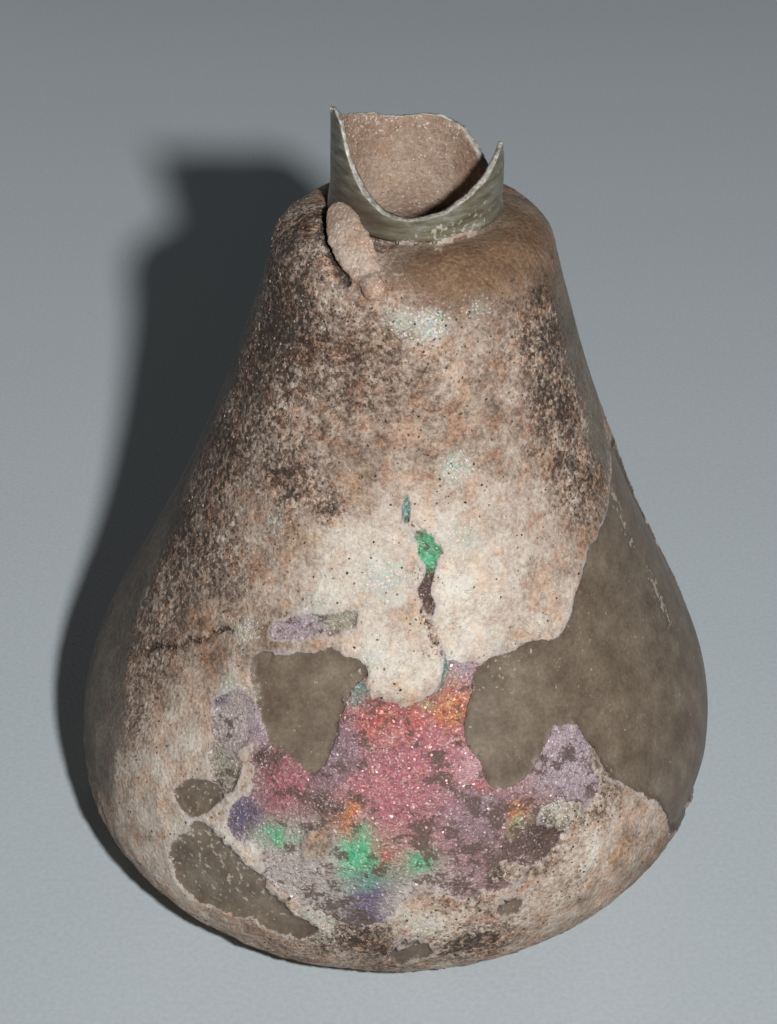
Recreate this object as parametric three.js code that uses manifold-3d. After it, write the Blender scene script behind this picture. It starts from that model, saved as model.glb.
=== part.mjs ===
// A small free-blown glass flask (unguentarium): a bell-shaped body with a heavy round heel, a narrow
// rounded shoulder, and the stub of a neck that broke off and left two sharp points. It is one piece
// of glass with its burial crust, hollow and open at the break.
//
// Units are millimetres, +Z is up, and the origin is the centre of the ring that the flask stands on.
// The lowest stretch of the broken rim faces -Y, and the tallest point of the break is on the -X side.

import * as THREE from "three";
import { mergeVertices } from "three/addons/utils/BufferGeometryUtils.js";
import Module from "manifold-3d";

// Driving dimensions
const BULB_RADIUS = 40; // widest part of the body
const BULB_HEIGHT = 15;
const FOOT_RADIUS = 27; // outer edge of the flat resting ring
const KICK_RADIUS = 15; // the underside is pushed up inside this radius
const KICK_HEIGHT = 1.4;
const WAIST_RADIUS = 28.4; // the flank heads for this radius before it turns up to the shoulder
const WAIST_HEIGHT = 35.2;
const BULB_REACH = 16.4; // how far up the flank keeps the bulb's fullness
const SHOULDER_RADIUS = 15.8;
const SHOULDER_HEIGHT = 80;
const SHOULDER_RISE = 3.1; // how steeply the dome leaves the shoulder
const CROWN_HEIGHT = 84.6; // where the shoulder meets the neck
const CROWN_SPREAD = 3.4; // how flat the dome runs in to the neck
const NECK_RADIUS = 9.4;
const BODY_WALL = 1.7;
const NECK_WALL = 1.0;
const FLOOR_THICKNESS = 2.8;

// Free-blown unevenness
const NECK_LEAN = 2.3; // the neck stands this far towards +X of the foot
const HEEL_SWELL = 0.55; // the heel is fuller on one side and leaner on the other by this much
const HEEL_SWELL_AZIMUTH = 205; // degrees, from +X towards +Y

// The break: [azimuth in degrees, height] round the rim, with straight runs between
const BREAK = [
  [-180, 97.4], [-158, 97.9], [-150, 96.4], [-146, 93.8], [-138, 91.4], [-131, 89.8], [-123, 88.7],
  [-114, 87.8], [-105, 87.4], [-95, 87.2], [-86, 87.5], [-76, 87.8], [-66, 88.4], [-56, 89.2],
  [-46, 90.0], [-38, 90.8], [-29, 92.2], [-21, 93.6], [-12, 91.0], [-2, 88.0], [12, 86.6], [29, 87.3],
  [36, 88.2], [43, 89.3], [56, 91.0], [65, 91.5], [74, 91.9], [88, 91.8], [101, 91.7], [112, 91.9],
  [120, 92.4], [132, 92.9], [148, 93.4], [160, 94.8], [172, 97.0],
];

// A long flake of crust that lies across the front left of the shoulder, against the neck
const FLAKE_TOP = new THREE.Vector3(-5.9, -6.8, 87.3);
const FLAKE_FOOT = new THREE.Vector3(-0.9, -14.7, 81.7);
const FLAKE_OUTWARDS = new THREE.Vector3(-0.45, -0.75, 1);
const FLAKE_WIDTH = 3.3;
const FLAKE_THICKNESS = 1.9;

// An open crack between the foot of the neck and the crust of the left shoulder
const CRACK_WIDTH = 1.0;
const CRACK_RADIUS = NECK_RADIUS + 0.55 * CRACK_WIDTH;
const CRACK_ARC = [150, 232]; // degrees
const CRACK_HEIGHT = CROWN_HEIGHT - 0.1;

// The neck runs up past the break before it is cut, and the hollow and the cutter run past the neck
const NECK_TOP = 104;
const HOLLOW_TOP = NECK_TOP + 2;
const CUTTER_TOP = NECK_TOP + 6;
const CUTTER_RADII = [0.4 * NECK_RADIUS, 1.6 * NECK_RADIUS];

// Fineness
const OUTER_SEGMENTS = 80;
const INNER_SEGMENTS = 64;
const OUTER_STEPS = { underside: 4, heel: 8, flank: 14, dome: 7 };
const INNER_STEPS = { underside: 2, heel: 6, flank: 10, dome: 5 };
const CRACK_STEPS = 12;

const wasm = await Module();
wasm.setup();

const radians = THREE.MathUtils.degToRad;

/** A closed geometry as a solid that can be joined and cut. */
function solidOf(geometry) {
  const bare = geometry.clone();
  bare.deleteAttribute("normal");
  bare.deleteAttribute("uv");
  const merged = mergeVertices(bare, 1e-4);
  const vertProperties = new Float32Array(merged.attributes.position.array);
  const triVerts = new Uint32Array(merged.index.array);
  return new wasm.Manifold(new wasm.Mesh({ numProp: 3, vertProperties, triVerts }));
}

/** A solid as a geometry with flat faces. */
function geometryOf(solid) {
  const { numProp, vertProperties, triVerts } = solid.getMesh();
  const positions = new Float32Array((vertProperties.length / numProp) * 3);
  for (let i = 0; i < positions.length / 3; i++) {
    positions.set(vertProperties.subarray(i * numProp, i * numProp + 3), i * 3);
  }
  const indexed = new THREE.BufferGeometry();
  indexed.setAttribute("position", new THREE.BufferAttribute(positions, 3));
  indexed.setIndex(new THREE.BufferAttribute(new Uint32Array(triVerts), 1));
  const flat = indexed.toNonIndexed();
  flat.computeVertexNormals();
  return flat;
}

/**
 * The section of the flask from the middle of its floor to the middle of its mouth, as [radius, height]
 * points. The inset moves it inwards from the outer skin, and the floor and the neck have their own.
 */
function section({ inset, floor, neckInset, top, steps }) {
  const bulb = BULB_RADIUS - inset;
  const foot = FOOT_RADIUS - inset;
  const shoulder = SHOULDER_RADIUS - inset;
  const crown = CROWN_HEIGHT - inset;
  const neck = NECK_RADIUS - neckInset;

  const underside = new THREE.CubicBezierCurve(
    new THREE.Vector2(0, KICK_HEIGHT + floor),
    new THREE.Vector2(0.5 * KICK_RADIUS, KICK_HEIGHT + floor),
    new THREE.Vector2(0.7 * KICK_RADIUS, floor),
    new THREE.Vector2(KICK_RADIUS, floor),
  );
  const heel = new THREE.EllipseCurve(foot, BULB_HEIGHT, bulb - foot, BULB_HEIGHT - floor, -Math.PI / 2, 0);
  const flank = new THREE.CubicBezierCurve(
    new THREE.Vector2(bulb, BULB_HEIGHT),
    new THREE.Vector2(bulb, BULB_HEIGHT + BULB_REACH),
    new THREE.Vector2(WAIST_RADIUS - inset, WAIST_HEIGHT),
    new THREE.Vector2(shoulder, SHOULDER_HEIGHT),
  );
  const dome = new THREE.CubicBezierCurve(
    new THREE.Vector2(shoulder, SHOULDER_HEIGHT),
    new THREE.Vector2(shoulder - 0.25 * SHOULDER_RISE, SHOULDER_HEIGHT + SHOULDER_RISE - 0.5 * inset),
    new THREE.Vector2(neck + CROWN_SPREAD, crown - 0.06 * CROWN_SPREAD),
    new THREE.Vector2(neck, crown),
  );
  const parts = [
    [underside, steps.underside],
    [heel, steps.heel],
    [flank, steps.flank],
    [dome, steps.dome],
  ];
  const points = parts.flatMap(([curve, count], i) => curve.getPoints(count).slice(i ? 1 : 0));
  const ringStart = steps.underside + 1; // the flat ring runs from the kick to the heel
  points.splice(ringStart, 0, new THREE.Vector2(foot, floor));
  points[0].x = 0;
  points.push(new THREE.Vector2(neck, top), new THREE.Vector2(0, top));
  return points;
}

/** Turns a section about +Z. */
function turned(points, segments) {
  return new THREE.LatheGeometry(points, segments).rotateX(Math.PI / 2);
}

/** Moves each vertex as free blowing did: the neck leans, and the heel is fuller on one side. */
function blownByHand(geometry) {
  const position = geometry.attributes.position;
  const v = new THREE.Vector3();
  for (let i = 0; i < position.count; i++) {
    v.fromBufferAttribute(position, i);
    const low = Math.min(1, Math.max(0, v.z / BULB_HEIGHT));
    const bellied = 4 * low * (1 - low);
    const azimuth = Math.atan2(v.y, v.x);
    const radius = Math.hypot(v.x, v.y);
    const swell = HEEL_SWELL * bellied * Math.cos(azimuth - radians(HEEL_SWELL_AZIMUTH));
    const grown = radius > FOOT_RADIUS ? (radius + swell) / radius : 1;
    position.setXYZ(i, v.x * grown + (NECK_LEAN * v.z) / CROWN_HEIGHT, v.y * grown, v.z);
  }
  return geometry;
}

/** The outside of the flask, solid, with its neck whole. */
function outerBody() {
  const points = section({ inset: 0, floor: 0, neckInset: 0, top: NECK_TOP, steps: OUTER_STEPS });
  return solidOf(blownByHand(turned(points, OUTER_SEGMENTS)));
}

/** The hollow of the flask, which runs out through the neck. */
function hollow() {
  const points = section({
    inset: BODY_WALL,
    floor: FLOOR_THICKNESS,
    neckInset: NECK_WALL,
    top: HOLLOW_TOP,
    steps: INNER_STEPS,
  });
  return solidOf(blownByHand(turned(points, INNER_SEGMENTS)));
}

/** What broke off: everything above the ragged rim. */
function lostNeck() {
  const [innerRadius, outerRadius] = CUTTER_RADII;
  const count = BREAK.length;
  const lowest = Math.min(...BREAK.map(([, height]) => height));
  const vertices = [NECK_LEAN, 0, lowest];
  const ring = (radius, heightOf) =>
    BREAK.forEach(([azimuth, height]) => {
      const a = radians(azimuth);
      vertices.push(NECK_LEAN + radius * Math.cos(a), radius * Math.sin(a), heightOf(height));
    });
  ring(innerRadius, (height) => height);
  ring(outerRadius, (height) => height);
  ring(outerRadius, () => CUTTER_TOP);
  vertices.push(NECK_LEAN, 0, CUTTER_TOP);

  const [floorCentre, inner, outer, upper, ceilingCentre] = [0, 1, 1 + count, 1 + 2 * count, 1 + 3 * count];
  const index = [];
  for (let i = 0; i < count; i++) {
    const j = (i + 1) % count;
    index.push(floorCentre, inner + j, inner + i);
    index.push(inner + i, inner + j, outer + j, inner + i, outer + j, outer + i);
    index.push(outer + i, outer + j, upper + j, outer + i, upper + j, upper + i);
    index.push(ceilingCentre, upper + i, upper + j);
  }
  const geometry = new THREE.BufferGeometry();
  geometry.setAttribute("position", new THREE.Float32BufferAttribute(vertices, 3));
  geometry.setIndex(index);
  return solidOf(geometry);
}

/** The flake of crust on the shoulder, rounded at both ends and bedded in the shoulder. */
function crustFlake() {
  const along = FLAKE_FOOT.clone().sub(FLAKE_TOP);
  const basis = new THREE.Matrix4().lookAt(new THREE.Vector3(), along, FLAKE_OUTWARDS);
  const flake = new THREE.CapsuleGeometry(0.5 * FLAKE_WIDTH, along.length() - FLAKE_WIDTH, 4, 14);
  flake.rotateX(Math.PI / 2);
  flake.scale(1, FLAKE_THICKNESS / FLAKE_WIDTH, 1);
  flake.applyMatrix4(basis);
  const middle = FLAKE_TOP.clone().add(FLAKE_FOOT).multiplyScalar(0.5);
  flake.translate(middle.x, middle.y, middle.z);
  return solidOf(flake);
}

/** The crack round the left foot of the neck, as the groove that it cuts. */
function shoulderCrack() {
  const [start, end] = CRACK_ARC.map((degrees) => radians(degrees));
  const route = Array.from({ length: CRACK_STEPS + 1 }, (_, i) => {
    const a = start + ((end - start) * i) / CRACK_STEPS;
    const x = NECK_LEAN + CRACK_RADIUS * Math.cos(a);
    return new THREE.Vector3(x, CRACK_RADIUS * Math.sin(a), CRACK_HEIGHT);
  });
  const groove = new THREE.Shape().absellipse(0, 0, 0.5 * CRACK_WIDTH, 0.5 * CRACK_WIDTH, 0, 2 * Math.PI);
  return solidOf(
    new THREE.ExtrudeGeometry(groove, {
      steps: CRACK_STEPS,
      curveSegments: 4,
      extrudePath: new THREE.CatmullRomCurve3(route),
    }),
  );
}

/** The flask: one piece. */
function flask() {
  const whole = outerBody().add(crustFlake()).subtract(shoulderCrack());
  const solid = whole.subtract(hollow()).subtract(lostNeck());
  const material = new THREE.MeshStandardMaterial({ color: 0x9a8572, roughness: 0.75, metalness: 0 });
  const mesh = new THREE.Mesh(geometryOf(solid), material);
  mesh.name = "flask";
  return mesh;
}

const unguentarium = new THREE.Group();
unguentarium.add(flask());

export default unguentarium;
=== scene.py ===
"""The looks of a small free-blown glass flask that lay buried for a long time.

The flask is thin brown-green glass under a buff burial crust. The crust has flaked away in places and
shows either the smooth brown glass or a flaking film of decayed glass in rainbow colours. Its neck broke
off and left a ragged stub. Lengths are in millimetres until a mesh is made, which is in metres, +Z up.
Azimuths are degrees from +X towards +Y, and the side that the camera sees best is at -90.
"""

import itertools
import logging
import math
from dataclasses import dataclass, field
from enum import Enum
from functools import partial
from typing import Any

import bmesh
import bpy
import numpy as np
from bpy.types import Material, Mesh, Node, NodeSocket, NodeTree, Object
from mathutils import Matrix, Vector


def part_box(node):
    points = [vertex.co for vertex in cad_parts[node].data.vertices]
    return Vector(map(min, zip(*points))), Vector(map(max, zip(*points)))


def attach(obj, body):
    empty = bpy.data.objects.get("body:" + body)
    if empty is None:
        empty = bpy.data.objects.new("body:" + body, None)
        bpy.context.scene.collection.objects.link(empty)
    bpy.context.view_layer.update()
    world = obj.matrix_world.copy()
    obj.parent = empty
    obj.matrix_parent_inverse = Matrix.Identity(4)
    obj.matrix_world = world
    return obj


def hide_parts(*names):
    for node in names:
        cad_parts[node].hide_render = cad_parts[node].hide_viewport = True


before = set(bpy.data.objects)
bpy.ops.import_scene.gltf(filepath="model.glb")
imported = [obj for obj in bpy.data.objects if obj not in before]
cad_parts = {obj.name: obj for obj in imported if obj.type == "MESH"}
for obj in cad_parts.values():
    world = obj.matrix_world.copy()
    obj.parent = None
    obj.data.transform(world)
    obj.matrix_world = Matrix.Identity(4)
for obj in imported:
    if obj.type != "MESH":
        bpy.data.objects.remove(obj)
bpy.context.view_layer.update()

MM = 0.001
FRONT = -90.0
BODY = "root"
NODE = "flask"

# The kinds of node that come up often
MATH = "ShaderNodeMath"
RANGE = "ShaderNodeMapRange"
MIX = "ShaderNodeMix"
RAMP = "ShaderNodeValToRGB"
NOISE = "ShaderNodeTexNoise"  # takes the place, the scale, the detail and the roughness
CELLS = "ShaderNodeTexVoronoi"  # takes the place and the scale
SPLIT = "ShaderNodeSeparateColor"
ATTRIBUTE = "ShaderNodeAttribute"
# The properties that choose what a node does; a node's mode is the first that it has
MODES = ("interpolation_type", "operation", "data_type")

Array = np.ndarray
Look = tuple[Any, Any, Any, Any]  # a finish's colour, roughness, metallic share and height in millimetres

log = logging.getLogger("flask")


# ---------------------------------------------------------------------------------------------------
# Small tools


def srgb(code: str) -> tuple[float, float, float, float]:
    """Turn an sRGB hex colour into linear light.

    Args:
        code: Six hex digits, such as "9a8776".

    Returns:
        Linear red, green and blue, and an alpha of 1.
    """
    values = [int(code[i : i + 2], 16) / 255 for i in (0, 2, 4)]
    linear = [v / 12.92 if v <= 0.04045 else ((v + 0.055) / 1.055) ** 2.4 for v in values]
    return (linear[0], linear[1], linear[2], 1.0)


def add_node(
    tree: NodeTree, kind: str, inputs: Any = (), mode: str = "", stops: tuple = (), **settings: Any
) -> Node:
    """Add a node, set its properties, and fill or link its inputs.

    Args:
        tree: The node tree that takes the node.
        kind: The node's type, such as "ShaderNodeMath".
        inputs: What goes into its open sockets, in their order or by their names: a plain value, a colour's
            hex code, an output, or a node whose first open output is meant. None leaves a socket alone.
        mode: Its interpolation, operation or data type, the first of these that it has.
        stops: The places and hex colours of a colour ramp.
        settings: The node's other properties, by name.

    Returns:
        The new node.
    """
    node = tree.nodes.new(kind)
    if mode:
        settings[next(name for name in MODES if hasattr(node, name))] = mode
    for name, value in settings.items():
        setattr(node, name, value)
    for number, (place, colour) in enumerate(stops):
        elements = node.color_ramp.elements
        element = elements[number] if number < 2 else elements.new(place)
        element.position, element.color = place, srgb(colour)
    sockets = [socket for socket in node.inputs if socket.enabled]
    named = {socket.name: socket for socket in reversed(sockets)}
    pairs = inputs.items() if isinstance(inputs, dict) else enumerate(inputs)
    for key, value in pairs:
        socket = named[key] if isinstance(key, str) else sockets[key]
        if isinstance(value, Node):
            value = next(output for output in value.outputs if output.enabled)
        if isinstance(value, str) and socket.type == "RGBA":
            value = srgb(value)
        if isinstance(value, NodeSocket):
            tree.links.new(value, socket)
        elif value is not None:
            socket.default_value = value
    return node


def put(name: str, data: Any) -> Object:
    """Stand a mesh, lamp or camera at the origin as an object.

    Args:
        name: The object's name.
        data: Its mesh, lamp or camera data.

    Returns:
        The object.
    """
    thing = bpy.data.objects.new(name, data)
    bpy.context.collection.objects.link(thing)
    return thing


def smooth_step(values: Array, low: float, high: float) -> Array:
    """Rise smoothly from 0 where the values are low to 1 where they are high."""
    t = np.clip((values - low) / (high - low), 0, 1)
    return t * t * (3 - 2 * t)


class Noise:
    """Smooth seeded noise in space, mostly between -1 and 1."""

    def __init__(self, seed: int) -> None:
        """Draw the noise's directions from a seed.

        Args:
            seed: The number that fixes the draw.
        """
        rng = np.random.default_rng(seed)
        self.order = rng.permutation(256)
        directions = rng.normal(size=(256, 3))
        self.directions = directions / np.linalg.norm(directions, axis=1, keepdims=True)

    def at(self, points: Array) -> Array:
        """Read the noise where one cell is one unit wide.

        Args:
            points: Places, one in each row.

        Returns:
            One number for each place.
        """
        cell = np.floor(points).astype(int)
        inside = points - cell
        fade = inside**3 * (inside * (inside * 6 - 15) + 10)
        total = np.zeros(len(points))
        for corner in itertools.product((0, 1), repeat=3):
            offset = np.array(corner)
            x, y, z = ((cell + offset) % 256).T
            chosen = self.order[(self.order[(self.order[x] + y) % 256] + z) % 256]
            weight = np.prod(np.where(offset == 1, fade, 1 - fade), axis=1)
            total += weight * np.einsum("ij,ij->i", self.directions[chosen], inside - offset)
        return 1.6 * total

    def layered(self, points: Array, size: float, layers: int = 3, fall: float = 0.55) -> Array:
        """Add finer and fainter layers of the noise.

        Args:
            points: Places in millimetres, in an array of any shape whose last axis is 3 long.
            size: Width in millimetres of the broadest features.
            layers: How many layers there are, each half as wide as the one before.
            fall: How strong each layer is beside the one before.

        Returns:
            One number for each place.
        """
        flat = points.reshape(-1, 3)
        strengths = [fall**i for i in range(layers)]
        total = sum(s * self.at(flat * (2**i / size) + 17.3 * i) for i, s in enumerate(strengths))
        return (total / sum(strengths)).reshape(points.shape[:-1])


# ---------------------------------------------------------------------------------------------------
# The form of the vessel


class Zone(Enum):
    """Where on the wall of the vessel a row of points lies."""

    UNDERSIDE = 0
    WALL = 1
    NECK = 2
    RIM = 3
    THROAT = 4
    INSIDE = 5


# The broken rim of a flask whose bulb has this radius, as (azimuth, height above the crown)
BREAK_BULB = 40
BREAK = (
    (-180, 11.7), (-170, 12.3), (-160, 12.5), (-152, 11.6), (-146, 9.2), (-138, 6.8), (-131, 5.2),
    (-123, 4.1), (-114, 3.2), (-105, 2.8), (-95, 2.6), (-86, 2.9), (-76, 3.2), (-66, 3.8), (-56, 4.6),
    (-46, 5.4), (-38, 6.2), (-29, 7.2), (-22, 8.2), (-16, 8.8), (-11, 7.0), (-2, 3.6), (12, 2.0),
    (29, 2.7), (36, 3.6), (43, 4.7), (56, 6.4), (65, 6.9), (74, 7.3), (88, 7.2), (101, 7.1), (112, 7.3),
    (120, 7.8), (132, 8.3), (148, 8.8), (160, 9.7), (171, 11.1), (180, 11.7),
)  # fmt: skip


def share_of_bulb(share: float, meaning: str) -> property:
    """Make a read-only size that is a share of the radius of the bulb."""
    return property(lambda form: share * form.bulb_radius, doc=meaning)


@dataclass(frozen=True)
class FlaskForm:
    """Sizes of the blown vessel in millimetres, most of them as shares of the radius of its bulb."""

    bulb_radius: float
    body_wall: float = 1.7
    neck_wall: float = 1.0
    floor_thickness: float = 2.8
    neck_lean: float = 2.3
    heel_swell: float = 0.55  # how far the heel bulges to one side
    heel_swell_azimuth: float = 205.0
    silt_depth: float = 6.0  # how far below the shoulder's turn the silt inside starts to round it
    front_fineness: float = 0.3  # how much closer the columns of points stand at the front
    columns: int = 425

    @classmethod
    def from_frame(cls, node: str) -> "FlaskForm":
        """Take the size of the vessel from its solid in the frame.

        Args:
            node: The solid's name.

        Returns:
            The form at the solid's own size.
        """
        low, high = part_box(node)
        return cls(bulb_radius=(high[1] - low[1]) / 2 / MM)

    bulb_height = share_of_bulb(0.375, "Height of the widest part of the body.")
    foot_radius = share_of_bulb(0.675, "Outer edge of the flat ring that the flask stands on.")
    kick_radius = share_of_bulb(0.375, "Inner edge of that ring, where the underside starts to rise.")
    kick_height = share_of_bulb(0.035, "How far the underside is pushed up in the middle.")
    waist_radius = share_of_bulb(0.71, "Radius that the flank's curve is drawn towards on its way up.")
    waist_height = share_of_bulb(0.88, "Height of that pull.")
    flank_height = share_of_bulb(0.785, "How high the flank's curve leaves the bulb straight up.")
    shoulder_radius = share_of_bulb(0.395, "Radius where the flank ends and the shoulder turns in.")
    shoulder_height = share_of_bulb(2.0, "Height of that turn.")
    crown_height = share_of_bulb(2.115, "Height where the shoulder meets the neck.")
    neck_radius = share_of_bulb(0.235, "Outer radius of the neck.")

    def axis_x(self, height: Array | float) -> Array | float:
        """How far the leaning axis stands towards +X at a height."""
        return self.neck_lean * height / self.crown_height

    def rim_height(self, azimuth: Array) -> Array:
        """Height of the broken rim.

        Args:
            azimuth: Degrees from +X towards +Y, between -180 and 180.

        Returns:
            The height at each azimuth.
        """
        around, rises = zip(*BREAK)
        return self.crown_height + np.interp(azimuth, around, rises) * self.bulb_radius / BREAK_BULB

    def wall_rows(self, inset: float, floor: float, neck_inset: float, counts: dict[str, int]) -> Array:
        """Work out the profile from the middle of the floor to the foot of the neck.

        Args:
            inset: How far the profile lies inside the outer skin.
            floor: Height of the floor over the table.
            neck_inset: The same as inset, for the neck.
            counts: How many rows each stretch takes.

        Returns:
            Radius and height, one row for each ring of points.
        """
        bulb, foot = self.bulb_radius - inset, self.foot_radius - inset
        shoulder, crown = self.shoulder_radius - inset, self.crown_height - inset
        neck = self.neck_radius - neck_inset
        waist = (self.waist_radius - inset, self.waist_height)
        end = self.shoulder_height - (self.silt_depth if inset else 0)
        kick = floor + self.kick_height
        rim = self.kick_radius
        turn = np.linspace(-math.pi / 2, 0, 60)[:, None]
        stretches = {
            "kick": bezier((0, kick), (0.5 * rim, kick), (0.7 * rim, floor), (rim, floor)),
            "ring": np.array([(rim, floor), (foot, floor)]),
            "heel": np.hstack([
                foot + (bulb - foot) * np.cos(turn),
                self.bulb_height + (self.bulb_height - floor) * np.sin(turn),
            ]),
            "flank": bezier((bulb, self.bulb_height), (bulb, self.flank_height), waist, (shoulder, end)),
            "dome": (self.inner_dome if inset else self.outer_dome)(shoulder, neck, crown),
        }
        rows = [np.array([(0.0, kick)])]
        rows += [even_run(stretches[name], count)[1:] for name, count in counts.items()]
        return np.vstack(rows)

    def outer_dome(self, shoulder: float, neck: float, crown: float) -> Array:
        """Draw the round shoulder from the end of the flank to the foot of the neck.

        Args:
            shoulder: Radius at the end of the flank.
            neck: Radius at the foot of the neck.
            crown: Height of that foot.

        Returns:
            Points close together along the curve.
        """
        start = self.shoulder_height
        turned_in = (shoulder - 0.775, start + 3.1)
        return bezier((shoulder, start), turned_in, (neck + 3.4, crown - 0.2), (neck, crown))

    def inner_dome(self, shoulder: float, neck: float, crown: float) -> Array:
        """Draw its inner face, where silt has rounded the corner under the neck.

        Args:
            shoulder: Radius at the end of the flank.
            neck: Radius at the foot of the neck.
            crown: Height of that foot.

        Returns:
            Points close together along the curve.
        """
        start = self.shoulder_height
        low = start - self.silt_depth
        return bezier((shoulder, low), (shoulder - 1, start - 2), (neck, crown - 5), (neck, crown))


def bezier(*corners: tuple[float, float]) -> Array:
    """Draw a smooth curve from four control points.

    Args:
        corners: The four points.

    Returns:
        Points close together along the curve.
    """
    a, b, c, d = np.array(corners)
    t = np.linspace(0, 1, 200)[:, None]
    return (1 - t) ** 3 * a + 3 * (1 - t) ** 2 * t * b + 3 * (1 - t) * t**2 * c + t**3 * d


def even_run(line: Array, count: int) -> Array:
    """Space points evenly along a line.

    Args:
        line: The line's corners.
        count: How many equal steps to take along it.

    Returns:
        The points, both ends included.
    """
    lengths = np.linalg.norm(np.diff(line, axis=0), axis=1)
    along = np.concatenate([[0], np.cumsum(lengths)])
    wanted = np.linspace(0, along[-1], count + 1)
    return np.column_stack([np.interp(wanted, along, line[:, axis]) for axis in range(line.shape[1])])


class BlownVessel:
    """The glass wall as it was blown and broke, as a closed grid of points from floor to rim and back."""

    OUTER_COUNTS = {"kick": 6, "ring": 6, "heel": 34, "flank": 108, "dome": 16}
    INNER_COUNTS = {"kick": 2, "ring": 2, "heel": 4, "flank": 13, "dome": 5}
    NECK_ROWS = 18
    RIM_ROWS = 3
    THROAT_ROWS = 12
    NECK_HEIGHT = 6.0  # of the neck before its break is cut
    LIP_WALL = ((2.5, 0.85), (6.0, 0.75), (8.0, 0.45), (12.5, 0.3))  # rise of the break, and the wall there
    FOOT_FLARE = 0.5  # how far the neck's foot spreads
    FLARE_RISE = 0.4  # the share of the neck's rise that the spread takes
    BREAK_RAGGEDNESS = 0.30

    def __init__(self, form: FlaskForm) -> None:
        """Lay out the rows of the wall for a form."""
        self.form = form
        self.section, self.zones, self.rise = self._rows()

    def _rows(self) -> tuple[Array, Array, Array]:
        """List the rings of points in order.

        Returns:
            Each ring's radius and height, its zone, and its share of the neck's rise, 1 at the rim.
        """
        form = self.form
        outer = form.wall_rows(0, 0, 0, self.OUTER_COUNTS)
        inner = form.wall_rows(form.body_wall, form.floor_thickness, form.neck_wall, self.INNER_COUNTS)[::-1]
        top = form.crown_height + self.NECK_HEIGHT
        up = np.linspace(0, 1, self.NECK_ROWS + 1)[1:]
        across = np.linspace(0, 1, self.RIM_ROWS + 1)[1:]
        down = np.linspace(1, 0, self.THROAT_ROWS + 1)[1:-1]
        foot, throat_foot = outer[-1, 1], inner[0, 1]
        neck = np.column_stack([np.full(up.shape, form.neck_radius), foot + up * (top - foot)])
        rim = np.column_stack([form.neck_radius - across * form.neck_wall, np.full(across.shape, top)])
        inside = np.full(down.shape, inner[0, 0])
        throat = np.column_stack([inside, throat_foot + down * (top - throat_foot)])
        flat = 1 + self.OUTER_COUNTS["kick"] + self.OUTER_COUNTS["ring"]
        zones = [Zone.UNDERSIDE] * flat + [Zone.WALL] * (len(outer) - flat)
        zones += [Zone.NECK] * len(neck) + [Zone.RIM] * len(rim) + [Zone.THROAT] * len(throat)
        zones += [Zone.INSIDE] * len(inner)
        rise = np.concatenate([np.zeros(len(outer)), up, np.ones(len(rim)), down, np.zeros(len(inner))])
        return np.vstack([outer, neck, rim, throat, inner]), np.array([z.value for z in zones]), rise

    def turn(self) -> Object:
        """Turn the section round the leaning axis with Geometry Nodes.

        Returns:
            The wall as an open grid of points, ring after ring, with the rim still level.
        """
        mesh = bpy.data.meshes.new("section")
        mesh.from_pydata([(radius * MM, 0, height * MM) for radius, height in self.section], [], [])
        piece = put("flask_skin", mesh)
        form = self.form
        sizes = {
            "Rings": len(self.section),
            "Columns": form.columns,
            "Neck lean": form.neck_lean * MM,
            "Crown height": form.crown_height * MM,
            "Bulb height": form.bulb_height * MM,
            "Foot radius": form.foot_radius * MM,
            "Heel swell": form.heel_swell * MM,
            "Heel swell azimuth": math.radians(form.heel_swell_azimuth),
            "Front azimuth": math.radians(FRONT),
            "Front fineness": form.front_fineness,
        }
        grow(piece, turned_wall_tree(sizes), sizes)
        return piece

    def azimuths(self) -> Array:
        """Azimuth of each column in degrees, between -180 and 180, closer together at the front.

        Returns:
            One azimuth for each column.
        """
        turn = np.linspace(0, 2 * math.pi, self.form.columns)
        spaced = turn - self.form.front_fineness * np.sin(turn - math.radians(FRONT))
        return (np.degrees(spaced) + 180) % 360 - 180

    def snap_neck(self, points: Array, noise: Noise) -> Array:
        """Pull the level rim of the neck to the ragged line of the break.

        Args:
            points: The grid of points, rings by columns.
            noise: Raggedness of the break.

        Returns:
            The grid with its neck broken.
        """
        form = self.form
        azimuth = self.azimuths()
        around = np.radians(azimuth)
        ring = form.neck_radius * np.column_stack([np.cos(around), np.sin(around), np.zeros_like(around)])
        ragged = form.rim_height(azimuth) + self.BREAK_RAGGEDNESS * noise.layered(ring, 1.6, 4, 0.65)
        level = form.crown_height + self.NECK_HEIGHT
        broken = points.copy()
        broken[..., 2] += self.rise[:, None] * (ragged - level)[None, :]
        lip = np.interp(ragged - form.crown_height, *zip(*self.LIP_WALL))
        within = np.clip((form.neck_radius - self.section[:, 0]) / form.neck_wall, 0, 1) * (self.rise > 0)
        thinner = within[:, None] * self.rise[:, None] * (form.neck_wall - lip)[None, :]
        spread = np.clip(1 - self.rise / self.FLARE_RISE, 0, 1) ** 2
        flare = self.FOOT_FLARE * spread * (self.zones == Zone.NECK.value)
        outwards = (thinner + flare[:, None])[..., None] * (ring / form.neck_radius)
        return broken + outwards


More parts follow.
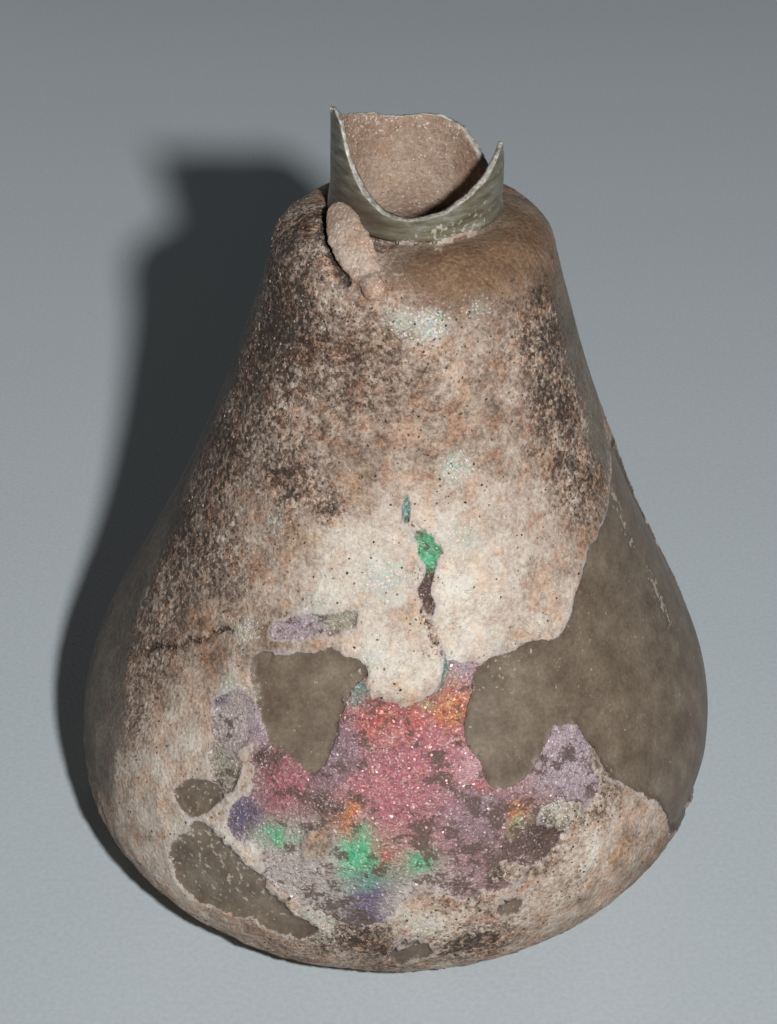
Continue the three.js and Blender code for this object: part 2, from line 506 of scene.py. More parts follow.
def turned_wall_tree(sizes: dict[str, Any]) -> NodeTree:
    """Build the tree that turns a section, given as points, into the wall of a vessel blown by hand.

    Args:
        sizes: A value for each named input: how many rings and columns, then metres and radians.

    Returns:
        A Geometry Nodes tree. Point number n of the section becomes ring number n of the wall.
    """
    tree, size = new_tree("turned wall", sizes)
    add = partial(add_node, tree)
    columns = size["Columns"]
    grid = add("GeometryNodeMeshGrid", (1.0, 1.0, size["Rings"], columns))
    number = add("GeometryNodeInputIndex")
    ring = add(MATH, (add(MATH, (add(MATH, (number, 0.5), "ADD"), columns), "DIVIDE"),), "FLOOR")
    column = add(MATH, (number, add(MATH, (ring, columns), "MULTIPLY")), "SUBTRACT")
    steps = add(MATH, (columns, 1.0), "SUBTRACT")
    turn = add(MATH, (add(MATH, (column, steps), "DIVIDE"), 2 * math.pi), "MULTIPLY")
    from_front = add(MATH, (add(MATH, (turn, size["Front azimuth"]), "SUBTRACT"),), "SINE")
    crowding = add(MATH, (from_front, size["Front fineness"]), "MULTIPLY")
    azimuth = add(MATH, (turn, crowding), "SUBTRACT")

    from_section = {"Geometry": size["Geometry"], "Value": add("GeometryNodeInputPosition"), "Index": ring}
    point = add("GeometryNodeSampleIndex", from_section, "FLOAT_VECTOR", domain="POINT")
    section = add("ShaderNodeSeparateXYZ", (point,)).outputs
    low = add(MATH, (section["Z"], size["Bulb height"]), "DIVIDE", use_clamp=True)
    high = add(MATH, (1.0, low), "SUBTRACT")
    bellied = add(MATH, (add(MATH, (low, high), "MULTIPLY"), 4.0), "MULTIPLY")
    from_swell = add(MATH, (azimuth, size["Heel swell azimuth"]), "SUBTRACT")
    one_sided = add(MATH, (add(MATH, (from_swell,), "COSINE"), bellied), "MULTIPLY")
    foot_edge = add(MATH, (size["Foot radius"], 0.96), "MULTIPLY")
    past_foot = add(MATH, (section["X"], foot_edge), "GREATER_THAN")
    share = add(MATH, (one_sided, past_foot), "MULTIPLY")
    radius = add(MATH, (share, size["Heel swell"], section["X"]), "MULTIPLY_ADD")

    risen = add(MATH, (section["Z"], size["Crown height"]), "DIVIDE")
    lean = add(MATH, (risen, size["Neck lean"]), "MULTIPLY")
    x = add(MATH, (radius, add(MATH, (azimuth,), "COSINE"), lean), "MULTIPLY_ADD")
    y = add(MATH, (radius, add(MATH, (azimuth,), "SINE")), "MULTIPLY")
    moved = add("ShaderNodeCombineXYZ", (x, y, section["Z"]))
    leave_tree(tree, add("GeometryNodeSetPosition", {"Geometry": grid, "Position": moved}))
    return tree


SOCKETS = ((int, "NodeSocketInt"), (float, "NodeSocketFloat"), (Material, "NodeSocketMaterial"))


def new_tree(name: str, sizes: dict[str, Any]) -> tuple[NodeTree, Any]:
    """Start a Geometry Nodes tree.

    Args:
        name: The tree's name.
        sizes: A value for each named input that it has besides the geometry.

    Returns:
        The tree and the outputs of its Group Input node.
    """
    tree = bpy.data.node_groups.new(name, "GeometryNodeTree")
    for way in ("INPUT", "OUTPUT"):
        tree.interface.new_socket("Geometry", in_out=way, socket_type="NodeSocketGeometry")
    for label, value in sizes.items():
        kind = next(kind for what, kind in SOCKETS if isinstance(value, what))
        tree.interface.new_socket(label, in_out="INPUT", socket_type=kind)
    return tree, add_node(tree, "NodeGroupInput").outputs


def leave_tree(tree: NodeTree, shape: Node, material: Any = None) -> None:
    """End a tree in Realize Instances, Set Material and the output.

    Args:
        tree: The tree.
        shape: The node that made the shape.
        material: The finish that comes in through an input.
    """
    solid = add_node(tree, "GeometryNodeRealizeInstances", {"Geometry": shape})
    finished = add_node(tree, "GeometryNodeSetMaterial", {"Geometry": solid, "Material": material})
    add_node(tree, "NodeGroupOutput", (finished,))


def grow(piece: Object, tree: NodeTree, sizes: dict[str, Any]) -> None:
    """Run a Geometry Nodes tree on a piece and keep the result as its plain mesh.

    Args:
        piece: The piece, which gives the tree its geometry.
        tree: The tree.
        sizes: A value for each named input.
    """
    modifier = piece.modifiers.new(tree.name, "NODES")
    modifier.node_group = tree
    inputs = [item for item in tree.interface.items_tree if item.in_out == "INPUT"]
    identifiers = {item.name: item.identifier for item in inputs}
    for label, value in sizes.items():
        modifier[identifiers[label]] = value
    graph = bpy.context.evaluated_depsgraph_get()
    shaped = piece.evaluated_get(graph)
    grown = bpy.data.meshes.new_from_object(shaped, preserve_all_data_layers=True, depsgraph=graph)
    piece.modifiers.remove(modifier)
    piece.data = grown
    grown.name = piece.name


# ---------------------------------------------------------------------------------------------------
# What burial did to it


class Weather(Enum):
    """What burial did to a patch of the outer wall."""

    BARE = "the crust came away clean and shows smooth brown glass"
    FILM = "the crust took glass with it and left a flaking rainbow film"
    LOBE = "thick pale crust that still stands over the film or the glass"
    WORN = "the crust wore thin without a step and left a smooth dull face"


class Tint(Enum):
    """A soft-edged change in the crust, mostly of its colour."""

    # Paler crust, and on the front partly a painted highlight
    CREAM = "cream"
    # Dark soil, and down the left flank and beside the shoulder flake painted shade
    SOIL = "soil"
    # Painted sheen and painted glints of loose film
    SHEEN = "sheen"
    RUST = "rust"
    FLAKED = "flaked off in ragged islands"


class Hue(Enum):
    """The colours that thin decayed layers show, by how thick they are."""

    BROWN = "5a473f"
    MAUVE = "8e767c"
    ROSE = "b57278"
    PINK = "c79a9e"
    RED = "c06a60"
    ORANGE = "ca8052"
    OLIVE = "99966a"
    GREEN = "5cbb88"
    TEAL = "6a9288"
    VIOLET = "70657c"
    LILAC = "b3a2a8"
    SILVER = "bcb0a9"
    GREY = "a59e8d"


@dataclass(frozen=True)
class Patch:
    """A patch inside a smooth closed outline of (azimuth, height) points."""

    weather: Weather
    outline: tuple[tuple[float, float], ...]
    fray: float = 0.45  # how far its edge wanders, in millimetres


@dataclass(frozen=True)
class Crack:
    """A groove along a run of (azimuth, height) points."""

    route: tuple[tuple[float, float], ...]
    width: float
    depth: float


PATCHES = (
    # The large clean window on the right, which runs on round the far side
    Patch(Weather.BARE, (
        (-8, 56), (-22, 53), (-31, 51), (-39, 50), (-46, 47.5), (-53, 43.5), (-61, 44), (-71, 43.5),
        (-75.5, 42), (-78, 36), (-75, 33), (-73, 30.5), (-66, 31), (-60, 35), (-54, 33.5), (-51, 27.5),
        (-45, 24), (-39, 19.5), (-36, 14.5), (-25, 10), (-8, 11), (8, 17), (17, 28), (17, 40), (10, 49),
        (2, 55),
    ), 0.9),
    # The window at the upper left of the film
    Patch(Weather.BARE, (
        (-124, 41.5), (-119, 43), (-114, 43.5), (-107, 44.5), (-101, 44), (-99, 42.5), (-102, 40),
        (-103.5, 36), (-105, 33), (-108, 32), (-112, 33), (-116, 34), (-119, 36), (-121, 38),
    ), 1.2),
    # The window at the lower left, down to the heel
    Patch(Weather.BARE, (
        (-132, 17), (-129, 21), (-125, 23.5), (-120, 22), (-115, 20), (-112, 18), (-108, 15.5),
        (-103, 13.5), (-108, 11.5), (-114, 12.5), (-124, 12), (-130, 13.5),
    ), 1.2),
    Patch(Weather.BARE, (
        (-133, 24.5), (-130, 27), (-126, 28), (-122.5, 27), (-125, 24.5), (-129, 23),
    ), 0.6),
    # The left flank, seen edge on, the shoulder's brown right half and the upper right
    Patch(Weather.WORN, (
        (-172, 80), (-170, 68), (-170, 59), (-171, 52), (-166, 46), (-165, 40), (-160, 35), (-154, 30),
        (-149, 25), (-149, 18), (-158, 14), (-175, 14), (170, 18), (160, 30), (160, 50), (168, 68),
        (172, 80),
    ), 1.6),
    Patch(Weather.WORN, (
        (-102, 83.6), (-92, 82), (-80, 81.6), (-66, 81.4), (-46, 81.2), (-22, 81.2), (-6, 81), (14, 82),
        (22, 85.4), (-20, 87.5), (-60, 87.5), (-96, 86),
    ), 0.8),
    Patch(Weather.WORN, (
        (-27, 79), (-25, 73), (-22, 65), (-22, 58), (-18, 54), (-6, 57), (8, 63), (12, 72), (4, 79),
        (-10, 81),
    ), 1.6),
    # The rainbow film below the lobe, between the windows
    Patch(Weather.FILM, (
        (-100, 43), (-97, 41), (-90, 39.5), (-84, 41), (-81, 44), (-75, 43.5), (-76, 38), (-73, 30),
        (-66, 32), (-58, 35.5), (-53, 32), (-54, 27.5), (-60, 25), (-66, 22), (-72, 19.5), (-80, 19),
        (-86, 20.5), (-92, 16.5), (-99, 15.5), (-104, 17), (-110, 18.5), (-114, 21), (-118, 25),
        (-117, 29), (-120, 34), (-118, 36), (-110, 38), (-102, 40),
    ), 2.4),
    # Film along the long central crack, and a dull strip over the left window
    Patch(Weather.FILM, (
        (-86.6, 56.8), (-83.2, 56.6), (-82.6, 53), (-84.4, 48.8), (-87.4, 50), (-87, 53.6),
    ), 1.8),
    Patch(Weather.FILM, ((-91.8, 60.8), (-90.4, 60.6), (-90.6, 58.4), (-92, 58.4)), 0.5),
    Patch(Weather.FILM, ((-83, 45), (-81.4, 44.5), (-83, 40), (-84.6, 40.5)), 0.5),
    Patch(Weather.FILM, (
        (-122, 44.4), (-117, 46.8), (-110, 48.2), (-102, 49), (-102.5, 46.8), (-111, 45.4),
    ), 1.2),
    # The sparkling patch on the left, the strip that hangs from it and a purple spot beside it
    Patch(Weather.FILM, (
        (-130, 36), (-125, 38), (-120, 37), (-118.5, 34), (-122, 32.3), (-128, 32.5),
    ), 0.6),
    Patch(Weather.FILM, ((-128, 31.5), (-124, 32), (-120, 31), (-121, 27.8), (-125, 28)), 0.5),
    Patch(Weather.FILM, ((-121, 25), (-119, 27.8), (-116, 28), (-115, 25.5), (-118, 23.2)), 0.5),
    # The crust's lobe that hangs down into the film
    Patch(Weather.LOBE, (
        (-97, 41), (-98, 45), (-95, 48), (-87, 48), (-82.5, 45), (-83, 41.5), (-90, 39.6),
    ), 0.5),
    # Crumbs of crust round the foot of the neck and islands of it low in the film
    Patch(Weather.LOBE, ((-106, 84.4), (-99, 85.1), (-92, 84.9), (-88, 84.6), (-95, 84.2)), 0.7),
    Patch(Weather.LOBE, (
        (-82, 84.6), (-72, 85.3), (-60, 85.5), (-46, 85.3), (-50, 84.8), (-64, 84.9), (-76, 84.4),
    ), 0.7),
    Patch(Weather.LOBE, ((-76, 21), (-72, 22.6), (-68, 21), (-71, 19.4)), 1.2),
    Patch(Weather.LOBE, ((-67, 26.5), (-62, 28), (-58, 26), (-62, 24)), 1.4),
    Patch(Weather.LOBE, ((-104, 27.4), (-101, 26.2), (-103, 23), (-106, 22.4), (-106.4, 25)), 1.0),
    # The far side, plainer
    Patch(Weather.FILM, (
        (68, 20), (80, 25), (92, 22), (108, 26), (116, 18), (102, 13), (86, 16), (76, 12),
    ), 2.4),
    Patch(Weather.WORN, (
        (40, 80), (70, 76), (96, 80), (120, 76), (150, 80), (140, 84.6), (90, 86), (50, 84.6),
    ), 1.6),
)  # fmt: skip

CRACKS = (
    Crack(((-91, 58.4), (-88, 57.4), (-85.5, 55.5)), 0.4, 0.3),
    Crack(((-85, 50), (-86.5, 49), (-84.5, 47), (-83.5, 45.5), (-82.5, 44.5)), 0.8, 0.6),
    Crack((
        (-153, 35.5), (-149, 37.2), (-145, 38), (-142, 39.9), (-138, 40.6), (-135, 42.6), (-131, 43.4),
    ), 0.55, 0.5),
    Crack(((-188, 85), (-168, 84.7), (-142, 84.2), (-128, 83.1), (-119, 81.9)), 0.9, 1.0),
)  # fmt: skip

# Where the film shows each colour, as (azimuth, height, width)
FILM_SPOTS = {
    Hue.ROSE: ((-86, 35, 8.0), (-94, 31, 6.0), (-112, 31, 3.6)),
    Hue.MAUVE: ((-102, 33.5, 4.5), (-76, 29, 5.0), (90, 19, 3.0)),
    Hue.BROWN: ((-103.5, 29.3, 2.2), (-116, 32, 2.6), (-66, 24, 3.5), (-85, 52, 2.2)),
    Hue.RED: ((-90, 37.5, 3.0), (-96, 38, 2.4), (-92.5, 24.6, 1.7), (-76, 31, 2.4)),
    Hue.PINK: ((-78, 33, 4.0),),
    Hue.OLIVE: ((-87, 39.6, 1.8), (-70, 26.6, 1.4)),
    Hue.ORANGE: ((-80, 38.6, 2.6), (-84, 38.1, 3.2), (-100, 28.3, 1.6), (-71, 28.4, 1.8)),
    Hue.TEAL: ((-99.5, 41, 1.8), (-95.5, 20.8, 2.0), (-91, 59.5, 2.0), (-83, 42.5, 2.0)),
    Hue.GREEN: ((-97, 24.6, 3.6), (-87.5, 23.6, 1.4), (-110.5, 25, 1.5), (-84.8, 54.6, 1.3)),
    Hue.VIOLET: ((-95, 18, 2.8), (-130, 36, 1.6), (-118, 25.5, 2.4)),
    Hue.SILVER: ((-107, 21, 5.5), (-88, 18.5, 3.0), (-103, 24.5, 2.4), (-124.5, 35, 2.4), (78, 19, 4.0)),
    Hue.LILAC: ((-58, 31, 5.5), (-77, 43.5, 2.0), (-119.5, 35, 2.2), (-115, 46.4, 4.0)),
    Hue.GREY: ((-124, 29.5, 3.0), (-106, 47.6, 3.5), (104, 20, 4.0)),
}  # fmt: skip

# Blots of each tint, as (azimuth, height, width, strength)
STAINS = {
    Tint.FLAKED: (
        (-88, 10.6, 3.6, 1.0), (-72, 16, 2.6, 0.85), (70, 62, 5.0, 0.8), (76, 50, 5.0, 1.1),
        (88, 43, 4.0, 1.1), (72, 38, 4.0, 1.0), (96, 34, 4.0, 0.9), (120, 42, 5.0, 0.8),
        (132, 25, 5.0, 1.1), (142, 18, 4.0, 1.0), (84, 20, 4.0, 0.9), (44, 26, 5.0, 0.85),
    ),
    # The broad blots on the front, round -90 and from 43 to 55 high, are partly a painted highlight where
    # the crust faces the lamp, and partly paler crust
    Tint.CREAM: (
        (-94, 55, 8, 0.9), (-101, 52, 6, 0.6), (-92, 47, 5, 0.9), (-78, 47, 5, 0.85), (-90, 43.5, 4.5, 0.8),
        (-112, 52, 6, 0.4), (-62, 52, 10, 0.6), (-90, 78, 3.5, 0.5), (-122, 20, 9, 0.5), (-132, 34, 6, 0.5),
        (-140, 22, 9, 0.6), (-116, 22.5, 4, 0.7), (-56, 19, 7, 0.95), (-84, 15, 5, 0.8),
        (-74, 85, 2.5, 1.0), (-50, 85.4, 2.5, 0.8), (-16.6, 54.0, 1.2, 1.2), (-16.2, 52.0, 1.3, 1.2),
        (-16.4, 50.0, 1.1, 1.2), (-17.0, 48.0, 1.2, 1.2), (-17.4, 46.0, 1.0, 1.1), (-14.6, 41.0, 1.2, 1.2),
        (-14.4, 39.0, 1.3, 1.2), (-15.2, 37.0, 1.2, 1.2), (-15.8, 35.0, 1.0, 1.1),
    ),
    # The dark blots from about -146 round to -170, down the left flank away from the lamp, are mostly
    # painted shade, and those beside the shoulder flake near the neck are partly painted shadow; the rest
    # are dark soil
    Tint.SOIL: (
        (-85, 53, 1.8, 1.0), (-37, 66, 4.5, 0.9), (-36, 75, 4.5, 0.9), (-39, 57, 3.5, 0.8),
        (-127, 60.5, 3.2, 1.5), (-113, 59, 2.0, 1.3), (-140, 49, 5.0, 0.8), (-166, 35, 9, 1.0),
        (-168, 48, 8, 1.0), (-168, 62, 8, 1.0), (-160, 55, 6, 0.9), (-158, 46, 5, 0.9), (-152, 37, 5, 1.0),
        (-148, 29, 4, 0.7), (-150, 65, 7, 0.9), (-146, 77, 6, 1.5), (-150, 84.5, 5, 1.2),
        (-128, 85.5, 3, 1.0), (-160, 72, 7, 1.1), (-170, 82, 5, 1.1), (-90, 74, 9, 0.35),
        (-112, 74, 7, 0.4), (-124, 70, 7, 0.3), (-30, 72, 6, 0.7), (-32, 62, 5, 0.7), (-30, 56, 4, 0.7),
        (-66, 24, 4, 1.3), (-54, 25, 3.0, 0.9), (-78, 21.5, 4.0, 1.5), (-86, 26, 3.2, 1.1),
        (-84, 32, 2.6, 1.0), (-75, 27.5, 3.0, 1.0), (-58, 30.5, 4.0, 0.9), (-96, 13, 3.0, 1.5),
        (-78, 10.8, 3.4, 1.5), (-101, 20, 2.4, 0.7), (-60, 17, 3.0, 0.6), (-90, 11, 6.0, 0.7),
        (-106, 28.6, 2.8, 1.3), (-104, 11, 5, 0.7), (-72, 12, 5, 0.6), (60, 66, 9, 0.7), (110, 46, 9, 0.6),
        (150, 66, 9, 0.6), (30, 28, 7, 0.6),
    ),
    # Where the painted sheen and painted glints lie
    Tint.SHEEN: (
        (-96, 52, 2.5, 1.3), (-76, 56, 2.0, 1.1), (-77, 63.5, 1.8, 1.3), (-96, 79, 1.6, 1.0),
        (-84, 78.4, 1.7, 1.5), (-66, 79.5, 1.8, 0.6), (-118, 40.5, 1.5, 0.5), (-128, 44, 2.0, 0.8),
        (-126, 37, 3.0, 1.0), (-112, 48, 2.0, 0.9), (-99, 44, 1.6, 1.0), (-70, 44.8, 1.6, 0.7),
        (-128, 56, 2.0, 0.5), (-104, 15, 3.0, 0.9), (-86, 15.5, 3.0, 0.6), (-62, 28, 4.0, 0.8),
    ),
    Tint.RUST: (
        (-88, 83, 4.0, 0.9), (-68, 82.6, 5.0, 1.0), (-46, 82.4, 5.0, 0.9), (-24, 82.6, 5.0, 0.7),
        (0, 83, 6.0, 0.6), (-146, 40, 2.2, 0.9), (-96, 68, 8.0, 0.3),
    ),
}  # fmt: skip

# Low round swellings of the crust, as (azimuth, height, width, rise)
SWELLINGS = (
    (-150, 82.5, 4.5, 0.9), (-178, 83.5, 5.0, 0.7), (-120, 79.5, 4.0, 0.45), (-60, 19, 6.0, 0.35),
    (-84, 15, 3.0, 0.3), (-128, 40, 3.0, 0.3),
)  # fmt: skip


class Weathering:
    """Works out, for each point of the grid, what lies on the glass there and how far it stands proud."""

    CRUST_DROP = 0.45  # from the crust's face down to bare glass
    FILM_DROP = 0.26  # and down to the film
    EDGE = (-0.02, 0.12)  # the edge distances between which the face falls away
    REACH = 6.0  # the farthest edge distance that is told apart
    STEPS = 6  # points between two corners of a patch's outline
    CURL = (0.14, 0.8)  # rise and width of the crust's curled edge
    LOBE_RISE = 0.15
    LUMPS = 0.20  # height of the crust's broad lumps
    FINE_LUMPS = (0.16, 0.20)  # and of its fine ones, with how much they grow down to the heel
    HEEL = (30, 20)  # the heights between which they grow
    SCALES = 3.5  # steps in the relief of the film
    ISLANDS = (2.4, 0.72, 2.6)  # slope, threshold and raggedness of the islands where crust flaked off
    FILM_RAGGEDNESS = 1.9  # low on the body, where the film breaks up
    FILM_BLEND = 3.6  # how far the film's colours are shaken about
    TABLE = (0.2, 4)  # heights between which the relief sets in, over the smooth resting ring

    def __init__(self, vessel: BlownVessel, points: Array) -> None:
        """Measure a vessel's grid against the patches.

        Args:
            vessel: The blown vessel.
            points: Its grid of points in millimetres, rings by columns.
        """
        self.vessel = vessel
        self.form = vessel.form
        zones = vessel.zones
        self.outside = int(np.flatnonzero(zones <= Zone.NECK.value)[-1]) + 1
        self.points = points
        self.azimuth = vessel.azimuths()
        self.fine = Noise(11)
        self.broad = Noise(12)
        skin = points[: self.outside]
        self.skin = skin.reshape(-1, 3)
        self.height = self.skin[:, 2]
        self.around = np.broadcast_to(self.azimuth, skin.shape[:2]).reshape(-1)
        self.fray = self.fine.layered(self.skin, 3.0, 4)

    def place(self, azimuth: float, height: float) -> Array:
        """Find a place on the outer wall.

        Args:
            azimuth: Degrees from +X towards +Y.
            height: Millimetres over the table.

        Returns:
            The point in millimetres.
        """
        wall = self.vessel.zones[: self.outside] >= Zone.WALL.value
        section = self.vessel.section[: self.outside][wall]
        radius = np.interp(height, section[:, 1], section[:, 0])
        turn = math.radians(azimuth)
        x = radius * math.cos(turn) + self.form.axis_x(height)
        return np.array([x, radius * math.sin(turn), height])

    def edge_distance(self, patch: Patch) -> Array:
        """Measure each point's distance from a patch's edge.

        Args:
            patch: The patch.

        Returns:
            Millimetres, positive inside the patch.
        """
        middle = patch.outline[0][0]
        flat = np.array(patch.outline, dtype=float)
        flat[:, 0] = (flat[:, 0] - middle + 180) % 360 - 180
        smooth = round_off(flat, self.STEPS)
        corners = np.array([self.place(azimuth + middle, height) for azimuth, height in smooth])
        reach = np.linalg.norm(corners - corners.mean(axis=0), axis=1).max() + self.REACH
        near = np.linalg.norm(self.skin - corners.mean(axis=0), axis=1) < reach
        distance = np.full(len(self.skin), -self.REACH)
        loop = np.vstack([corners, corners[:1]])
        away = distance_to_path(self.skin[near], loop)
        turned = (self.around[near] - middle + 180) % 360 - 180
        within = inside_loop(np.column_stack([turned, self.height[near]]), smooth)
        distance[near] = np.where(within, away, -away) + patch.fray * self.fray[near]
        return np.clip(distance, -self.REACH, self.REACH)

    def union(self, weather: Weather) -> Array:
        """Join the edge distances of every patch of one weather."""
        return np.max([self.edge_distance(patch) for patch in PATCHES if patch.weather is weather], axis=0)

    def groove(self) -> tuple[Array, Array]:
        """Measure the cracks.

        Returns:
            How far each point is sunk, and how dark the crack is there, from 0 to 1.
        """
        sunk = np.zeros(len(self.skin))
        dark = np.zeros(len(self.skin))
        for crack in CRACKS:
            route = np.array([self.place(*point) for point in crack.route])
            away = distance_to_path(self.skin, route) + 0.3 * crack.width * self.fray
            share = 1 - smooth_step(away, 0.25 * crack.width, 0.75 * crack.width)
            sunk = np.maximum(sunk, crack.depth * share)
            dark = np.maximum(dark, share)
        return sunk, dark

    def blot(self, azimuth: float, height: float, width: float) -> Array:
        """Fade from 1 at a place on the wall to nearly 0 at twice a width in millimetres."""
        away = np.linalg.norm(self.skin - self.place(azimuth, height), axis=1)
        return np.exp(-((away / width) ** 2))

    def tinted(self, tint: Tint) -> Array:
        """Add up the blots of one tint, from 0 up."""
        return sum(strength * self.blot(*place) for *place, strength in STAINS[tint])

    def film_colours(self) -> Array:
        """Blend the film's colours between the spots where they are set.

        Returns:
            Linear red, green, blue and alpha for each point.
        """
        wide = np.column_stack([self.fine.layered(self.skin + 31 * i, 6.0, 5, 0.75) for i in range(3)])
        shaken = self.skin + self.FILM_BLEND * wide
        mixed = np.zeros((len(self.skin), 4))
        for hue, spots in FILM_SPOTS.items():
            for azimuth, height, width in spots:
                away = np.linalg.norm(shaken - self.place(azimuth, height), axis=1) / width
                mixed += (1 / (away + 0.12) ** 4)[:, None] * np.array(srgb(hue.value))
        return mixed / mixed[:, 3:]

    def dress(self) -> tuple[Array, dict[str, Array]]:
        """Shape the whole grid and say what lies where.

        Returns:
            The grid in millimetres, and a number for each point and each kind of cover.
        """
        bare, film, lobe, worn = (self.union(weather) for weather in Weather)
        slope, threshold, raggedness = self.ISLANDS
        flaked = self.tinted(Tint.FLAKED)
        ragged = self.fine.layered(self.skin + 90, 2.8, 5, 0.75)
        islands = slope * (flaked - threshold) + raggedness * ragged * np.clip(2 * flaked, 0, 1)
        bare = np.maximum(bare, np.clip(islands, -self.REACH, 1.2))
        film = film + self.FILM_RAGGEDNESS * ragged * smooth_step(self.height, 32, 18)
        crown = self.form.crown_height
        neck = smooth_step(self.height, crown + 0.1, crown + 0.7)
        bare = np.where(neck > 0, np.maximum(bare, 0.4), bare)
        under = (bare, film, worn)
        bare, film, worn = (np.where(lobe > 0, np.minimum(cover, -lobe), cover) for cover in under)
        off = np.maximum(bare, film)
        self._sharpen(off, bare, film)
        sunk, dark = self.groove()
        covers = {
            "bare": bare,
            "film": film,
            "worn": worn,
            # Paler crust, partly a painted highlight on the front
            "cream": self.tinted(Tint.CREAM),
            # Dark soil, painted shade down the left flank, and darker cracks
            "soil": self.tinted(Tint.SOIL) + 2 * dark,
            "sheen": self.tinted(Tint.SHEEN),
            "rust": self.tinted(Tint.RUST),
            "neck": neck,
        }
        relief = self._relief(covers, off, lobe) - sunk
        relief *= 0.12 + 0.88 * smooth_step(self.height, *self.TABLE)
        return self._raise(relief), {name: self._whole(values) for name, values in covers.items()}

    def _relief(self, covers: dict[str, Array], off: Array, lobe: Array) -> Array:
        """Work out how far the outer face stands off the blown form.

        Args:
            covers: What lies where.
            off: Distance from the crust's edge, positive where it is gone.
            lobe: Distance from the edge of the lobes, positive inside.

        Returns:
            The relief in millimetres for each point.
        """
        bare, film, neck = covers["bare"], covers["film"], covers["neck"]
        least, growth = self.FINE_LUMPS
        heaped = least + growth * smooth_step(self.height, *self.HEEL)
        fine = heaped * self.fine.layered(self.skin, 1.9, 4, 0.7)
        lumps = self.LUMPS * self.broad.layered(self.skin, 7.0, 3) + fine
        swelling = sum(self.blot(*place) * rise for *place, rise in SWELLINGS)
        rise, width = self.CURL
        curl = rise * np.exp(-((np.clip(-off, 0, None) / width) ** 2))
        crust = (lumps + swelling) * (1 - 0.75 * smooth_step(covers["worn"], -1.5, 1.5)) + curl
        crust += self.LOBE_RISE * smooth_step(lobe, -0.1, 0.4)
        scales = np.floor(self.SCALES * self.fine.layered(self.skin + 50, 1.5, 2)) / self.SCALES
        flaking = -self.FILM_DROP + 0.13 * scales + 0.06 * lumps
        glass = -self.CRUST_DROP + 0.05 * self.broad.at(self.skin / 9)
        relief = crust + (flaking - crust) * smooth_step(film, *self.EDGE)
        relief += (glass - relief) * smooth_step(bare, *self.EDGE)
        return relief * (1 - neck) + neck * 0.04 * self.broad.at(self.skin / 4)

    def film_colour_grid(self) -> Array:
        """Spread the film's colours over the whole grid, white on the inside.

        Returns:
            Linear red, green, blue and alpha, rings by columns.
        """
        whole = np.ones((*self.points.shape[:2], 4))
        whole[: self.outside] = self.film_colours().reshape(self.outside, -1, 4)
        return whole

    def _sharpen(self, off: Array, *fields: Array) -> None:
        """Slide the points next to the edge of the crust on to it, so that the step there is steep.

        Args:
            off: Distance from the crust's edge, positive where it is gone.
            fields: Other distances to be kept in step.
        """
        grid = self.skin.reshape(self.outside, -1, 3)
        values = off.reshape(grid.shape[:2])
        along = np.gradient(grid, axis=0)
        across = np.gradient(grid, axis=1)
        lengths = [np.maximum(np.linalg.norm(step, axis=2), 1e-6) for step in (along, across)]
        slopes = [np.gradient(values, axis=axis) / lengths[axis] for axis in (0, 1)]
        ways = zip(slopes, (along, across), lengths)
        uphill = sum(slope[..., None] * step / length[..., None] for slope, step, length in ways)
        steep = np.sum(uphill**2, axis=2)
        cell = np.clip(0.5 * (lengths[0] + lengths[1]), 0.05, 0.8)
        reach = values / cell
        wanted = -1.5 * np.clip(-reach - 0.5, 0, None)
        wanted = np.where(reach >= 0.5, 0.25 + 1.25 * (reach - 0.5), wanted)
        shift = np.where(np.abs(reach) < 1.5, wanted * cell - values, 0)
        shift = np.where((steep > 0.3) & (steep < 3), shift, 0)
        shift[0], shift[-1] = 0, 0
        moved = grid + uphill * (shift / np.maximum(steep, 0.3))[..., None]
        moved[:, -1] = moved[:, 0]
        self.points[: self.outside] = moved
        self.skin = moved.reshape(-1, 3)
        together = [np.abs(values - off) < 1e-9 for values in fields]
        for values, near in zip(fields, together):
            values[near] += shift.reshape(-1)[near]

    def _raise(self, relief: Array) -> Array:
        """Move the grid along its own normals.

        Args:
            relief: How far each point of the outer wall goes.

        Returns:
            The whole grid, with a little unevenness on the inner wall.
        """
        grid = self.points
        around = np.roll(grid[:, :-1], -1, axis=1) - np.roll(grid[:, :-1], 1, axis=1)
        around = np.concatenate([around, around[:, :1]], axis=1)
        normal = np.cross(around, np.gradient(grid, axis=0))
        normal /= np.maximum(np.linalg.norm(normal, axis=2, keepdims=True), 1e-9)
        amount = np.zeros(grid.shape[:2])
        amount[: self.outside] = relief.reshape(self.outside, -1)
        inner = grid[self.outside :]
        amount[self.outside :] = 0.10 * self.fine.layered(inner, 2.0, 3) + 0.08
        amount[[0, -1]] = 0
        raised = grid + normal * amount[..., None]
        raised[..., 2] = np.maximum(raised[..., 2], 0)
        return raised

    def _whole(self, values: Array) -> Array:
        """Lengthen a list of numbers for the outer wall to the whole grid, with zeros inside.

        Args:
            values: A number for each point of the outer wall.

        Returns:
            A number for each point of the grid.
        """
        whole = np.zeros(self.points.shape[:2])
        whole[: self.outside] = values.reshape(self.outside, -1)
        return whole


